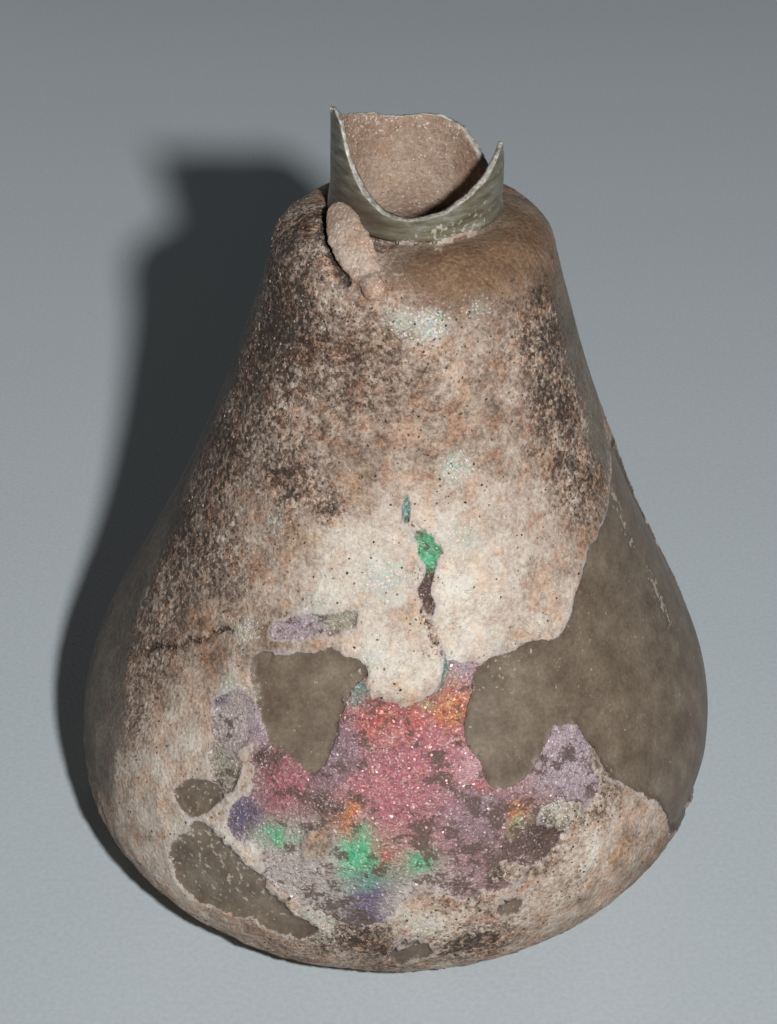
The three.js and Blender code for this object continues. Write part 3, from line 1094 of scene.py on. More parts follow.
def round_off(corners: Array, steps: int) -> Array:
    """Draw a smooth closed line through some corners.

    Args:
        corners: The corners, in order.
        steps: How many points to put between one corner and the next.

    Returns:
        The points of the line.
    """
    before, after, beyond = (np.roll(corners, shift, axis=0) for shift in (1, -1, -2))
    t = (np.arange(steps) / steps)[None, :, None]
    a, b, c, d = (line[:, None, :] for line in (before, corners, after, beyond))
    tension = 0.35
    start, end = tension * (c - a), tension * (d - b)
    line = (2 * t**3 - 3 * t**2 + 1) * b + (t**3 - 2 * t**2 + t) * start
    line = line + (3 * t**2 - 2 * t**3) * c + (t**3 - t**2) * end
    return line.reshape(-1, corners.shape[1])


def distance_to_path(points: Array, path: Array) -> Array:
    """Measure the distance from each point to a run of straight lines.

    Args:
        points: The points.
        path: The corners of the run.

    Returns:
        The shortest distance for each point.
    """
    best = np.full(len(points), np.inf)
    for start, end in zip(path[:-1], path[1:]):
        span = end - start
        share = np.clip((points - start) @ span / max(span @ span, 1e-12), 0, 1)
        best = np.minimum(best, np.linalg.norm(points - start - share[:, None] * span, axis=1))
    return best


def inside_loop(points: Array, loop: Array) -> Array:
    """Tell which flat points lie inside a closed loop.

    Args:
        points: Flat points, one in each row.
        loop: The loop's corners.

    Returns:
        True for each point inside.
    """
    within = np.zeros(len(points), dtype=bool)
    x, y = points.T
    for (x0, y0), (x1, y1) in zip(loop, np.roll(loop, -1, axis=0)):
        if y0 != y1:
            crosses = (y0 > y) != (y1 > y)
            within ^= crosses & (x < (x1 - x0) * (y - y0) / (y1 - y0) + x0)
    return within


# ---------------------------------------------------------------------------------------------------
# Finishes

# Width of the cells of the painted glints
GLINTS_PER_MM = 6.0  # real ones are finer, and wouldn't show


@dataclass(frozen=True)
class Finish:
    """A material, named for what the real surface is. Patterns are laid out in millimetres."""

    name: str

    def build(self) -> Material:
        """Make the material.

        Returns:
            The material, with its colour, roughness, metallic look and bump from its nodes.
        """
        material = bpy.data.materials.new(self.name)
        material.use_nodes = True
        tree = material.node_tree
        tree.nodes.clear()
        add = partial(add_node, tree)
        place = add("ShaderNodeVectorMath", (add("ShaderNodeTexCoord").outputs["Object"], 1 / MM), "SCALE")
        colour, roughness, metallic, height = self.look(add, place)
        bump = add("ShaderNodeBump", {"Height": height, "Distance": MM, "Strength": 1.0})
        inputs = {"Base Color": colour, "Roughness": roughness, "Metallic": metallic, "Normal": bump}
        surface = add("ShaderNodeBsdfPrincipled", inputs)
        add("ShaderNodeOutputMaterial", {"Surface": surface})
        return material

    def look(self, add: Any, place: Node) -> Look:
        """Lay out the pattern: colour, roughness, metallic share and height in millimetres."""
        raise NotImplementedError

    def chances(self, add: Any, place: Node, cells_per_mm: float) -> Node:
        """Give each small cell of the surface random shares of red, green and blue."""
        return add(SPLIT, (add(CELLS, (place, cells_per_mm)).outputs["Color"],))


def crust_pattern(add: Any, place: Node, cream: Any, soil: Any) -> tuple[Any, Any]:
    """Lay out burial crust: buff lime and clay in sandy grains, with dark grit and rosy and grey clouds.

    Args:
        add: Adds a node to the tree.
        place: The place in millimetres.
        cream: How pale it is, from 0; on the front this is partly a painted highlight where the crust faces
            the lamp.
        soil: How full of dark grit and how much darker it is, from 0; down the left flank this is painted
            shade.

    Returns:
        The colour, and the height in millimetres.
    """
    # Clouds 9 mm wide, mottling of 2.4 mm, and grains, grit and sand of about half a millimetre
    broad = add(NOISE, (place, 0.11, 3.0))
    mottle = add(NOISE, (place, 0.42, 6.0, 0.66))
    grain = add(NOISE, (place, 2.0, 4.0, 0.85))
    grit = add(NOISE, (place, 1.5, 3.0, 0.8))
    sand = add(CELLS, (place, 1.8))
    shade = add(SPLIT, (sand.outputs["Color"],))
    bent = {"Vector": place, "Scale": 0.35, "Detail": 5.0, "Roughness": 0.6, "Distortion": 0.6}
    veins = add(NOISE, bent)

    pale = add("ShaderNodeClamp", (cream, 0.0, 1.1))
    sandy = add(RANGE, (soil, 0.0, 1.0, 0.75, 1.5))
    fine = add(MATH, (grain, -0.5), "ADD")
    grains = add(MATH, (fine, sandy), "MULTIPLY")
    coarseness = add(RANGE, (soil, 0.2, 1.1, 0.05, 0.32))
    lightness = add(MATH, (shade, -0.45), "ADD")
    grains = add(MATH, (coarseness, lightness, grains), "MULTIPLY_ADD")
    tone = add(MATH, (broad, 0.55, -0.08), "MULTIPLY_ADD")
    tone = add(MATH, (mottle, 0.62, add(MATH, (tone, 0.025), "ADD")), "MULTIPLY_ADD")
    tone = add(MATH, (grains, 1.0, tone), "MULTIPLY_ADD")
    # Paler where the cream blots lie, which on the front are partly a painted highlight
    tone = add(MATH, (pale, 0.225, tone), "MULTIPLY_ADD")
    # Darker with soil, which down the left flank is painted shade
    tone = add(MATH, (soil, -0.12, tone), "MULTIPLY_ADD")
    stops = (
        (0.18, "40362f"), (0.34, "716156"), (0.46, "9a8879"), (0.56, "b7a494"), (0.70, "d2c4b6"),
        (0.90, "e9e3d7"),
    )  # fmt: skip
    buff = add(RAMP, (tone,), stops=stops)
    rosy = add(RANGE, (veins, 0.46, 0.62, 0.0, 0.6), "SMOOTHSTEP")
    colour = add(MIX, (rosy, buff, "c49c86"), "RGBA", blend_type="SOFT_LIGHT")
    stops = ((0.0, "8f8988"), (0.5, "8f867c"), (1.0, "a4806c"))
    warmth = add(RAMP, (shade.outputs["Green"],), stops=stops)
    colour = add(MIX, (0.22, colour, warmth), "RGBA", blend_type="SOFT_LIGHT")
    sallow = add(RANGE, (broad, 0.40, 0.30, 0.0, 0.5), "SMOOTHSTEP")
    colour = add(MIX, (sallow, colour, "b8a070"), "RGBA", blend_type="SOFT_LIGHT")
    crease = add(MATH, (add(MATH, (veins, -0.5), "ADD"),), "ABSOLUTE")
    creased = add(RANGE, (crease, 0.0, 0.012, 0.40, 0.0))
    colour = add(MIX, (creased, colour, "5a483c"), "RGBA")
    # Dark grit specks, more of them where the soil blots lie, which are partly painted shade
    grit_and_shade = add(MATH, (soil, 0.085, grit), "MULTIPLY_ADD")
    dark = add(RANGE, (grit_and_shade, 0.66, 0.72, 0.0, 0.8), "SMOOTHSTEP")
    colour = add(MIX, (dark, colour, "3f352e"), "RGBA")
    height = add(MATH, (grain, 0.22, add(MATH, (mottle, 0.22), "MULTIPLY")), "MULTIPLY_ADD")
    grainy = add(MATH, (sand.outputs["Distance"], -0.10, height), "MULTIPLY_ADD")
    pitted = add(MATH, (dark, -0.10, grainy), "MULTIPLY_ADD")
    return colour, pitted


@dataclass(frozen=True)
class BuriedGlass(Finish):
    """Soda glass that decayed in the ground, under a dull buff crust. Where the crust is gone it is either
    smooth and satin, a dull brown from iron in the sand, or a metallic-looking film of decayed layers."""

    name: str = "decayed soda glass with burial crust"

    def look(self, add: Any, place: Node) -> Look:
        """Lay crust, film and bare glass over each other by how far each point is inside them.

        Args:
            add: Adds a node to the material's tree.
            place: The place in millimetres.

        Returns:
            The colour, roughness, metallic share and height.
        """
        covers = ("bare", "film", "worn", "cream", "soil", "sheen", "rust", "neck")
        cover = {name: add(ATTRIBUTE, attribute_name=name).outputs["Fac"] for name in covers}
        speck = add(NOISE, (place, 2.4, 3.0, 0.7))
        cloud = add(NOISE, (place, 0.3, 6.0, 0.6))
        chance = self.chances(add, place, GLINTS_PER_MM)
        wander = add(MATH, (speck, 0.60, -0.30), "MULTIPLY_ADD")

        crust, crust_height = crust_pattern(add, place, cover["cream"], cover["soil"])
        colour = self.worn_away(add, crust, cover, cloud, speck)
        colour = self.glinting(add, colour, cover, chance)
        colour = self.lipped(add, colour, cover, wander, cloud)

        film = self.film(add, place, cover, chance, speck)
        film_edge = add(MATH, (cover["film"], wander), "ADD")
        film_share = add(RANGE, (film_edge, -0.10, 0.18, 0.0, 1.0), "SMOOTHSTEP")
        colour = add(MIX, (film_share, colour, film), "RGBA")

        bare = self.bare(add, place, cover, cloud, speck)
        bare_edge = add(MATH, (wander, 1.1, cover["bare"]), "MULTIPLY_ADD")
        bare_share = add(RANGE, (bare_edge, -0.08, 0.14, 0.0, 1.0), "SMOOTHSTEP")
        colour = add(MIX, (bare_share, colour, bare), "RGBA")

        rough_film = add(RANGE, (speck, 0.35, 0.65, 0.36, 0.62))
        rough = add(MIX, (film_share, 0.90, rough_film), "FLOAT")
        rough = add(MIX, (bare_share, rough, 0.50), "FLOAT")
        uncovered = add(MATH, (1.0, bare_share), "SUBTRACT")
        shiny = add(MATH, (film_share, 0.25), "MULTIPLY")
        metal = add(MATH, (shiny, uncovered), "MULTIPLY")
        scaly = add(MATH, (chance, 0.10, add(MATH, (speck, 0.30), "MULTIPLY")), "MULTIPLY_ADD")
        height = add(MIX, (film_share, crust_height, scaly), "FLOAT")
        smooth = add(MATH, (cloud, 0.10), "MULTIPLY")
        height = add(MIX, (bare_share, height, smooth), "FLOAT")
        return colour, rough, metal, height

    def worn_away(self, add: Any, crust: Any, cover: dict[str, Any], cloud: Any, speck: Any) -> Any:
        """Thin the crust to a dull grey or rust-brown face where it is worn, darker with soil and with
        painted shade down the left flank.

        Args:
            add: Adds a node to the material's tree.
            crust: The crust's colour.
            cover: How far inside each kind of cover the point is, by name.
            cloud: Broad noise.
            speck: Fine noise.

        Returns:
            The new colour.
        """
        mixed = add(MATH, (cloud, 0.5, add(MATH, (speck, 0.5), "MULTIPLY")), "MULTIPLY_ADD")
        inset = add(MATH, (cover["worn"], -8.0), "ADD")
        ragged = add(MATH, (mixed, 16.0, inset), "MULTIPLY_ADD")
        share = add(RANGE, (ragged, -0.8, 0.8, 0.0, 0.84), "SMOOTHSTEP")
        grey = add(RAMP, (mixed,), stops=((0.36, "4f4a41"), (0.50, "6e685d"), (0.64, "8d867a")))
        tan = add(RAMP, (mixed,), stops=((0.36, "583f2c"), (0.50, "7d5f45"), (0.64, "a08364")))
        rust = add("ShaderNodeClamp", (cover["rust"], 0.0, 1.0))
        smooth = add(MIX, (rust, grey, tan), "RGBA")
        # Painted shade: darker where the soil blots lie, which on the left flank stand for the shade away
        # from the lamp
        grime_and_shade = add(MATH, (cover["soil"], 0.55), "MULTIPLY")
        smooth = add(MIX, (grime_and_shade, smooth, "383430"), "RGBA")
        faint = add(MATH, (rust, 0.5), "MULTIPLY")
        stained = add(MIX, (faint, crust, "9a6e4c"), "RGBA", blend_type="MULTIPLY")
        return add(MIX, (share, stained, smooth), "RGBA")

    def glinting(self, add: Any, crust: Any, cover: dict[str, Any], chance: Node) -> Any:
        """Paint a silvery sheen and silvery, rosy and greenish glints of loose film over the crust, as
        painted highlights in its colour.

        Args:
            add: Adds a node to the material's tree.
            crust: The crust's colour.
            cover: How far inside each kind of cover the point is, by name.
            chance: Random shares of red, green and blue for each small cell.

        Returns:
            The new colour.
        """
        # A painted silvery sheen where the sheen blots lie, then painted glints in small cells
        veil = add(RANGE, (cover["sheen"], 0.2, 1.0, 0.0, 0.42))
        silvery = add(MIX, (veil, crust, "bcc4b6"), "RGBA")
        glint = add(MATH, (cover["sheen"], 0.42, chance), "MULTIPLY_ADD")
        share = add(RANGE, (glint, 0.99, 1.12, 0.0, 0.9))
        tints = ((0.0, "efe9e2"), (0.3, "e2b7ae"), (0.5, "a6d8ae"), (0.75, "b4b2cb"), (1.0, "eef0e6"))
        silver = add(RAMP, (chance.outputs["Green"],), stops=tints)
        return add(MIX, (share, silvery, silver), "RGBA")

    def lipped(self, add: Any, crust: Any, cover: dict[str, Any], wander: Any, cloud: Any) -> Any:
        """Whiten the broken lip of the crust here and there.

        Args:
            add: Adds a node to the material's tree.
            crust: The crust's colour.
            cover: How far inside each kind of cover the point is, by name.
            wander: How far the edge wanders.
            cloud: Broad noise.

        Returns:
            The new colour.
        """
        off = add(MATH, (cover["bare"], cover["film"]), "MAXIMUM")
        beyond = add(MATH, (add(MATH, (off, wander), "ADD"), 0.2), "ADD")
        near = add(RANGE, (add(MATH, (beyond,), "ABSOLUTE"), 0.05, 0.36, 1.0, 0.0))
        patchy = add(RANGE, (cloud, 0.42, 0.58, 0.15, 0.75))
        share = add(MATH, (near, patchy), "MULTIPLY")
        return add(MIX, (share, crust, "c6bab6"), "RGBA")

    def film(self, add: Any, place: Any, cover: dict[str, Any], chance: Node, speck: Any) -> Any:
        """Colour the crumpled rainbow film, with darker creases, painted highlights on its crests, its
        missing flakes and painted sparkles.

        Args:
            add: Adds a node to the material's tree.
            place: The place in millimetres.
            cover: How far inside each kind of cover the point is, by name.
            chance: Random shares of red, green and blue for each small cell.
            speck: Fine noise.

        Returns:
            The film's colour.
        """
        slanted = {"Vector": place, "Rotation": (0.0, 0.6, 0.3), "Scale": (0.8, 0.95, 1.15)}
        drawn = add("ShaderNodeMapping", slanted)
        crumpled = {"Vector": drawn, "Scale": 1.5, "Detail": 5.0, "Roughness": 0.75, "Distortion": 1.4}
        streak = add(NOISE, crumpled)
        missing = add(NOISE, (drawn, 0.40, 5.0, 0.7))
        tint = add(ATTRIBUTE, attribute_name="film_colour").outputs["Color"]
        turn = add(MATH, (chance.outputs["Blue"], 0.06, 0.37), "MULTIPLY_ADD")
        turn = add(MATH, (streak, 0.20, turn), "MULTIPLY_ADD")
        livelier = {"Hue": turn, "Saturation": 1.05, "Value": 1.08, "Fac": 1.0, "Color": tint}
        hue = add("ShaderNodeHueSaturation", livelier)
        dull = add(RANGE, (streak, 0.52, 0.36, 0.0, 0.75), "SMOOTHSTEP")
        film = add(MIX, (dull, hue, "6a544e"), "RGBA")
        # Painted highlights on the crests of the crumpled film
        crest = add(RANGE, (streak, 0.53, 0.68, 0.0, 0.75), "SMOOTHSTEP")
        bright = add(MIX, (0.48, hue, "ffe9e6"), "RGBA")
        film = add(MIX, (crest, film, bright), "RGBA")
        # Painted sparkles, tinted by the film's hue
        twinkle = add(MATH, (chance.outputs["Green"], speck), "ADD")
        spark = add(RANGE, (twinkle, 1.40, 1.54, 0.0, 0.9))
        flash = add(MIX, (0.7, hue, "fff4f2"), "RGBA")
        film = add(MIX, (spark, film, flash), "RGBA")
        # Brown where film flakes are missing, more of them where the soil blots lie, which are partly
        # painted shade
        grime_and_shade = add(MATH, (cover["soil"], 0.09, missing), "MULTIPLY_ADD")
        gone = add(RANGE, (grime_and_shade, 0.555, 0.62, 0.0, 0.85), "SMOOTHSTEP")
        return add(MIX, (gone, film, "67544a"), "RGBA")

    def bare(self, add: Any, place: Any, cover: dict[str, Any], cloud: Any, speck: Any) -> Any:
        """Colour the bare glass: brown on the body, and olive with drawn-out streaks on the neck.

        Args:
            add: Adds a node to the material's tree.
            place: The place in millimetres.
            cover: How far inside each kind of cover the point is, by name.
            cloud: Broad noise.
            speck: Fine noise.

        Returns:
            The glass's colour.
        """
        cloudy = add(MATH, (speck, 0.40, add(MATH, (cloud, -0.20), "ADD")), "MULTIPLY_ADD")
        stops = ((0.30, "5e4f42"), (0.48, "6f6152"), (0.58, "786a5a"), (0.76, "8b7c6a"))
        brown = add(RAMP, (cloudy,), stops=stops)
        drawn = add("ShaderNodeMapping", {"Vector": place, "Scale": (0.35, 0.35, 1.6)})
        band = add(NOISE, (drawn, 0.9, 5.0, 0.65))
        stops = ((0.30, "514735"), (0.46, "69634f"), (0.58, "79776a"), (0.72, "92938a"))
        olive = add(RAMP, (band,), stops=stops)
        glass = add(MIX, (cover["neck"], brown, olive), "RGBA")
        # Darker with soil, and with painted shade where the soil blots stand for it
        murk_and_shade = add(RANGE, (cover["soil"], 0.1, 1.0, 0.0, 0.6))
        glass = add(MIX, (murk_and_shade, glass, "4f3e38"), "RGBA")
        crumb = add(NOISE, (place, 1.7, 2.0))
        # More pale specks where the cream blots lie, which are partly a painted highlight
        dusty = add(MATH, (cover["cream"], 0.20, crumb), "MULTIPLY_ADD")
        dust = add(RANGE, (dusty, 0.70, 0.80, 0.0, 0.7))
        return add(MIX, (dust, glass, "c5bbab"), "RGBA")


@dataclass(frozen=True)
class FreshBreak(Finish):
    """The broken edge of the glass: a thin grey-white line, because the break crushed and then weathered."""

    name: str = "weathered broken glass edge"

    def look(self, add: Any, place: Node) -> Look:
        """Mottle the edge between grey glass and white powder.

        Args:
            add: Adds a node to the material's tree.
            place: The place in millimetres.

        Returns:
            The colour, roughness, metallic share and height.
        """
        speck = add(NOISE, (place, 1.3, 4.0, 0.7))
        stops = ((0.34, "6e6a5e"), (0.48, "a39e93"), (0.60, "cbc5bd"), (0.75, "e2ded6"))
        colour = add(RAMP, (speck,), stops=stops)
        return colour, 0.6, 0.0, add(MATH, (speck, 0.12), "MULTIPLY")


@dataclass(frozen=True)
class ThroatLining(Finish):
    """Fine tan silt that settled inside and dried on, with mica-like glints of flaked glass."""

    name: str = "dried silt lining"

    def look(self, add: Any, place: Node) -> Look:
        """Use the crust's pattern, a little rosier, with small painted glints, more of them towards the
        break.

        Args:
            add: Adds a node to the material's tree.
            place: The place in millimetres.

        Returns:
            The colour, roughness, metallic share and height.
        """
        crust, height = crust_pattern(add, place, 0.35, 0.3)
        rosy = add(MIX, (0.62, crust, "977c68"), "RGBA")
        chance = self.chances(add, place, GLINTS_PER_MM)
        # Painted glints, more of them towards the break
        level = add("ShaderNodeSeparateXYZ", (place,)).outputs["Z"]
        near_break = add(RANGE, (level, 89.0, 96.0, 0.0, 0.22))
        glint = add(RANGE, (add(MATH, (chance, near_break), "ADD"), 0.96, 1.0, 0.0, 0.7))
        colour = add(MIX, (glint, rosy, "e9dccf"), "RGBA")
        return colour, 0.85, 0.0, height


@dataclass(frozen=True)
class LooseCrust(Finish):
    """A loose flake of the same burial crust, rosier, with painted silvery glints."""

    name: str = "loose flake of burial crust"

    def look(self, add: Any, place: Node) -> Look:
        """Use the crust's own pattern.

        Args:
            add: Adds a node to the material's tree.
            place: The place in millimetres.

        Returns:
            The colour, roughness, metallic share and height.
        """
        crust, height = crust_pattern(add, place, 0.35, 0.1)
        rosy = add(MIX, (0.35, crust, "b58d72"), "RGBA")
        # Painted silvery glints
        chance = self.chances(add, place, 6.5)
        glint = add(RANGE, (chance, 0.90, 0.97, 0.0, 0.8))
        return add(MIX, (glint, rosy, "efe4e0"), "RGBA"), 0.88, 0.0, height


@dataclass(frozen=True)
class Crumbs(Finish):
    """Sand grains and crumbs of crust, from near white to dark brown."""

    name: str = "sand and crust crumbs"

    def look(self, add: Any, place: Node) -> Look:
        """Give each crumb its own tone.

        Args:
            add: Adds a node to the material's tree.
            place: The place in millimetres; not used.

        Returns:
            The colour, roughness, metallic share and height.
        """
        glint = add(ATTRIBUTE, attribute_name="glint").outputs["Fac"]
        stops = ((0.0, "352c26"), (0.4, "5a4c42"), (0.7, "83705f"), (0.9, "a08d7c"), (1.0, "bfb0a0"))
        return add(RAMP, (glint,), stops=stops), 0.9, 0.0, 0.0


@dataclass(frozen=True)
class FilmScales(Finish):
    """Loose scales of decayed glass a few thousandths of a millimetre thick, which throw rainbow glints."""

    name: str = "flaking rainbow glass film"

    def look(self, add: Any, place: Node) -> Look:
        """Give each scale one colour near that of the film under it, whitened on some as a painted glint.

        Args:
            add: Adds a node to the material's tree.
            place: The place in millimetres; not used.

        Returns:
            The colour, roughness, metallic share and height.
        """
        hue = add(ATTRIBUTE, attribute_name="film_colour").outputs["Color"]
        glint = add(ATTRIBUTE, attribute_name="glint").outputs["Fac"]
        # Painted glint: some scales are whitened at random
        bright = add(RANGE, (glint, 0.75, 1.0, 0.0, 0.4))
        colour = add(MIX, (bright, hue, "f4e6e6"), "RGBA")
        return colour, 0.45, 0.3, 0.0


@dataclass(frozen=True)
class GreyPaper(Finish):
    """Plain pale card with a faint tooth."""

    name: str = "pale grey card"

    def look(self, add: Any, place: Node) -> Look:
        """Vary the card very slightly.

        Args:
            add: Adds a node to the material's tree.
            place: The place in millimetres.

        Returns:
            The colour, roughness, metallic share and height.
        """
        tooth = add(NOISE, (place, 1.6, 2.0))
        colour = add(RAMP, (tooth,), stops=((0.3, "acb4b8"), (0.7, "b4bcc0")))
        return colour, 0.8, 0.0, add(MATH, (tooth, 0.03), "MULTIPLY")


# ---------------------------------------------------------------------------------------------------
# Pieces


def settle(piece: Object, material: Material | None = None) -> None:
    """Hang a finished piece on the frame.

    Args:
        piece: The piece, at the origin.
        material: Its one material, if it has none yet.
    """
    if material is not None:
        piece.data.materials.clear()
        piece.data.materials.append(material)
    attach(piece, BODY)
    triangles = sum(len(face.vertices) - 2 for face in piece.data.polygons)
    log.info("%s: %d triangles", piece.name, triangles)


@dataclass
class FlaskSkin:
    """The vessel itself, from the resting ring over the broken rim to the bottom of its hollow."""

    form: FlaskForm
    vessel: BlownVessel = field(init=False)
    piece: Object = field(init=False)

    def build(self) -> Object:
        """Blow the vessel, break it, bury it and close its mesh.

        Returns:
            The finished piece.
        """
        self.vessel = BlownVessel(self.form)
        self.piece = self.vessel.turn()
        mesh = self.piece.data
        flat = np.empty(len(mesh.vertices) * 3)
        mesh.vertices.foreach_get("co", flat)
        points = flat.reshape(len(self.vessel.section), self.form.columns, 3) / MM
        points = self.vessel.snap_neck(points, Noise(7))
        weathering = Weathering(self.vessel, points)
        points, covers = weathering.dress()
        mesh.vertices.foreach_set("co", (points * MM).ravel())
        for name, values in covers.items():
            mesh.attributes.new(name, "FLOAT", "POINT").data.foreach_set("value", values.ravel())
        colours = mesh.attributes.new("film_colour", "FLOAT_COLOR", "POINT")
        colours.data.foreach_set("color", weathering.film_colour_grid().ravel())
        self._finish_faces(mesh)
        close_up(mesh)
        return self.piece

    def _finish_faces(self, mesh: Mesh) -> None:
        """Give each face the finish of its zone.

        Args:
            mesh: The vessel's mesh, still made of quads.
        """
        mesh.materials.clear()
        for finish in (BuriedGlass(), FreshBreak(), ThroatLining()):
            mesh.materials.append(finish.build())
        slots = {Zone.RIM: 1, Zone.THROAT: 2, Zone.INSIDE: 2}
        by_zone = np.array([slots.get(zone, 0) for zone in Zone])
        first = np.empty(len(mesh.loops), dtype=int)
        mesh.loops.foreach_get("vertex_index", first)
        rings = first.reshape(-1, 4).max(axis=1) // self.form.columns
        mesh.polygons.foreach_set("material_index", by_zone[self.vessel.zones[rings]])


@dataclass
class ShoulderFlake:
    """A long leaf-shaped flake of crust that lies across the front left of the shoulder, with a round
    bead at its foot."""

    form: FlaskForm
    top: tuple[float, float, float] = (-6.6, -5.2, 87.4)
    foot: tuple[float, float, float] = (-1.7, -15.4, 81.3)
    outwards: tuple[float, float, float] = (-0.36, -0.6, 0.72)
    width: float = 4.2
    thickness: float = 1.5
    leaf_share: float = 0.92  # of the length, before the bead begins
    bluntness: float = 0.42  # a low power gives round ends
    squareness: float = 0.2  # of the leaf's section
    bead: float = 1.35  # its radius
    bow: float = 0.7
    roughness: float = 0.34
    rings: int = 70
    spokes: int = 56

    def build(self) -> Object:
        """Draw the flake along its bowed middle line.

        Returns:
            The finished piece.
        """
        start, end, up = (np.array(values) for values in (self.top, self.foot, self.outwards))
        length = np.linalg.norm(end - start)
        along = (end - start) / length
        up = up - along * (up @ along)
        up /= np.linalg.norm(up)
        side = np.cross(along, up)
        share = 0.5 - 0.5 * np.cos(np.linspace(0, math.pi, self.rings))
        middle = start + share[:, None] * (end - start) + np.outer(np.sin(np.pi * share) * self.bow, up)
        leaf = np.clip(4 * share * (self.leaf_share - share) / self.leaf_share**2, 0, 1) ** self.bluntness
        beyond = (share - 1) * length + self.bead
        bead = np.sqrt(np.clip(self.bead**2 - beyond**2, 0, None))
        turn = np.linspace(0, 2 * math.pi, self.spokes, endpoint=False)
        sideways = np.cos(turn) * np.abs(np.cos(turn)) ** -self.squareness
        flat = np.maximum(leaf * self.width / 2, bead)[:, None] * sideways
        thick = np.maximum(leaf * self.thickness / 2, bead)[:, None] * np.sin(turn)
        points = middle[:, None] + flat[..., None] * side + thick[..., None] * up
        rough = 1 + self.roughness * Noise(21).layered(points, 2.4, 5, 0.7)
        points = middle[:, None] + (points - middle[:, None]) * rough[..., None]
        return closed_tube("shoulder_flake", points)


def closed_tube(name: str, points: Array) -> Object:
    """Skin a run of rings and close both ends.

    Args:
        name: The piece's name.
        points: Rings by spokes, in millimetres. The end rings are points or nearly so.

    Returns:
        The piece.
    """
    rings, spokes = points.shape[:2]
    number = np.arange(rings * spokes).reshape(rings, spokes)
    beside = np.roll(number, -1, axis=1)
    faces = np.stack([number[:-1], beside[:-1], beside[1:], number[1:]], axis=2).reshape(-1, 4).tolist()
    mesh = bpy.data.meshes.new(name)
    mesh.from_pydata((points.reshape(-1, 3) * MM).tolist(), [], faces)
    close_up(mesh)
    return put(name, mesh)


def close_up(mesh: Mesh) -> None:
    """Join doubled points, fill what is left open, and turn the faces outwards.

    Args:
        mesh: The mesh, which is changed in place.
    """
    shape = bmesh.new()
    shape.from_mesh(mesh)
    bmesh.ops.remove_doubles(shape, verts=shape.verts, dist=1e-6)
    bmesh.ops.holes_fill(shape, edges=shape.edges)
    bmesh.ops.recalc_face_normals(shape, faces=shape.faces)
    for face in shape.faces:
        face.smooth = True
    shape.to_mesh(mesh)
    shape.free()


def scatter_tree(name: str, plates: bool, sizes: dict[str, Any]) -> NodeTree:
    """Build the tree that scatters bits over a skin where an attribute called "spread" allows.

    Args:
        name: The tree's name.
        plates: Lay thin six-sided plates along the skin, instead of angular grains.
        sizes: A value for each named input: how many in a square metre, and their sizes, seed and finish.

    Returns:
        A Geometry Nodes tree.
    """
    tree, size = new_tree(name, sizes)
    add = partial(add_node, tree)
    seed, tilt = size["Seed"], size["Tilt"]
    spread = add("GeometryNodeInputNamedAttribute", ("spread",), "FLOAT")
    density = add(MATH, (spread, size["Grains per square metre"]), "MULTIPLY")
    over = {"Mesh": size["Geometry"], "Density": density, "Seed": seed}
    points = add("GeometryNodeDistributePointsOnFaces", over, distribute_method="RANDOM")
    chance = add("FunctionNodeRandomValue", {"Min": 0.0, "Max": 1.0, "Seed": seed}, "FLOAT")
    glint = {"Geometry": points, "Name": "glint", "Value": chance}
    marked = add("GeometryNodeStoreNamedAttribute", glint, "FLOAT", domain="POINT")
    if plates:
        grain = add("GeometryNodeMeshCylinder", {"Vertices": 6, "Radius": 0.5, "Depth": 1.0})
    else:
        grain = add("GeometryNodeMeshIcoSphere", {"Radius": 0.5, "Subdivisions": 1})
    back = add(MATH, (tilt, -1.0), "MULTIPLY")
    least = add("ShaderNodeCombineXYZ", (back, back, 0.0))
    most = add("ShaderNodeCombineXYZ", (tilt, tilt, 2 * math.pi))
    twist = add("FunctionNodeRandomValue", {"Min": least, "Max": most, "Seed": seed}, "FLOAT_VECTOR")
    turned = {"Rotation": points.outputs["Rotation"], "Rotate By": twist}
    aligned = add("FunctionNodeRotateRotation", turned, rotation_space="LOCAL")
    growth = add("FunctionNodeRandomValue", {"Min": 0.45, "Max": 1.5, "Seed": 5}, "FLOAT")
    across = add(MATH, (growth, size["Width"]), "MULTIPLY")
    narrow = add(MATH, (across, 0.75), "MULTIPLY")
    thick = add(MATH, (across, size["Flatness"]), "MULTIPLY")
    scale = add("ShaderNodeCombineXYZ", (across, narrow, thick))
    bits = {"Points": marked, "Instance": grain.outputs["Mesh"], "Rotation": aligned, "Scale": scale}
    leave_tree(tree, add("GeometryNodeInstanceOnPoints", bits), size["Material"])
    return tree


@dataclass
class Scatter:
    """Small loose bits that lie all over one skin."""

    name: str
    skin: Object
    count: int
    width: float  # of a bit, in millimetres
    flatness: float  # its thickness over its width
    tilt: float  # how far it may lean off the skin, in radians
    seed: int
    plates: bool = False

    def build(self, spread: Array, material: Material) -> Object:
        """Scatter the bits with Geometry Nodes.

        Args:
            spread: How thick they lie at each point of the skin, from 0 to 1.
            material: Their finish.

        Returns:
            The finished piece.
        """
        mesh = self.skin.data.copy()
        mesh.attributes.new("spread", "FLOAT", "POINT").data.foreach_set("value", spread)
        piece = put(self.name, mesh)
        sizes = {
            "Grains per square metre": self.count / covered_area(mesh, spread),
            "Width": self.width * MM,
            "Flatness": self.flatness,
            "Tilt": self.tilt,
            "Seed": self.seed,
            "Material": material,
        }
        grow(piece, scatter_tree(self.name.replace("_", " "), self.plates, sizes), sizes)
        return piece


MARGIN = 0.3  # the crumbs keep this far from the crust's edge
BARE_FOOT = 3  # and this far above the table


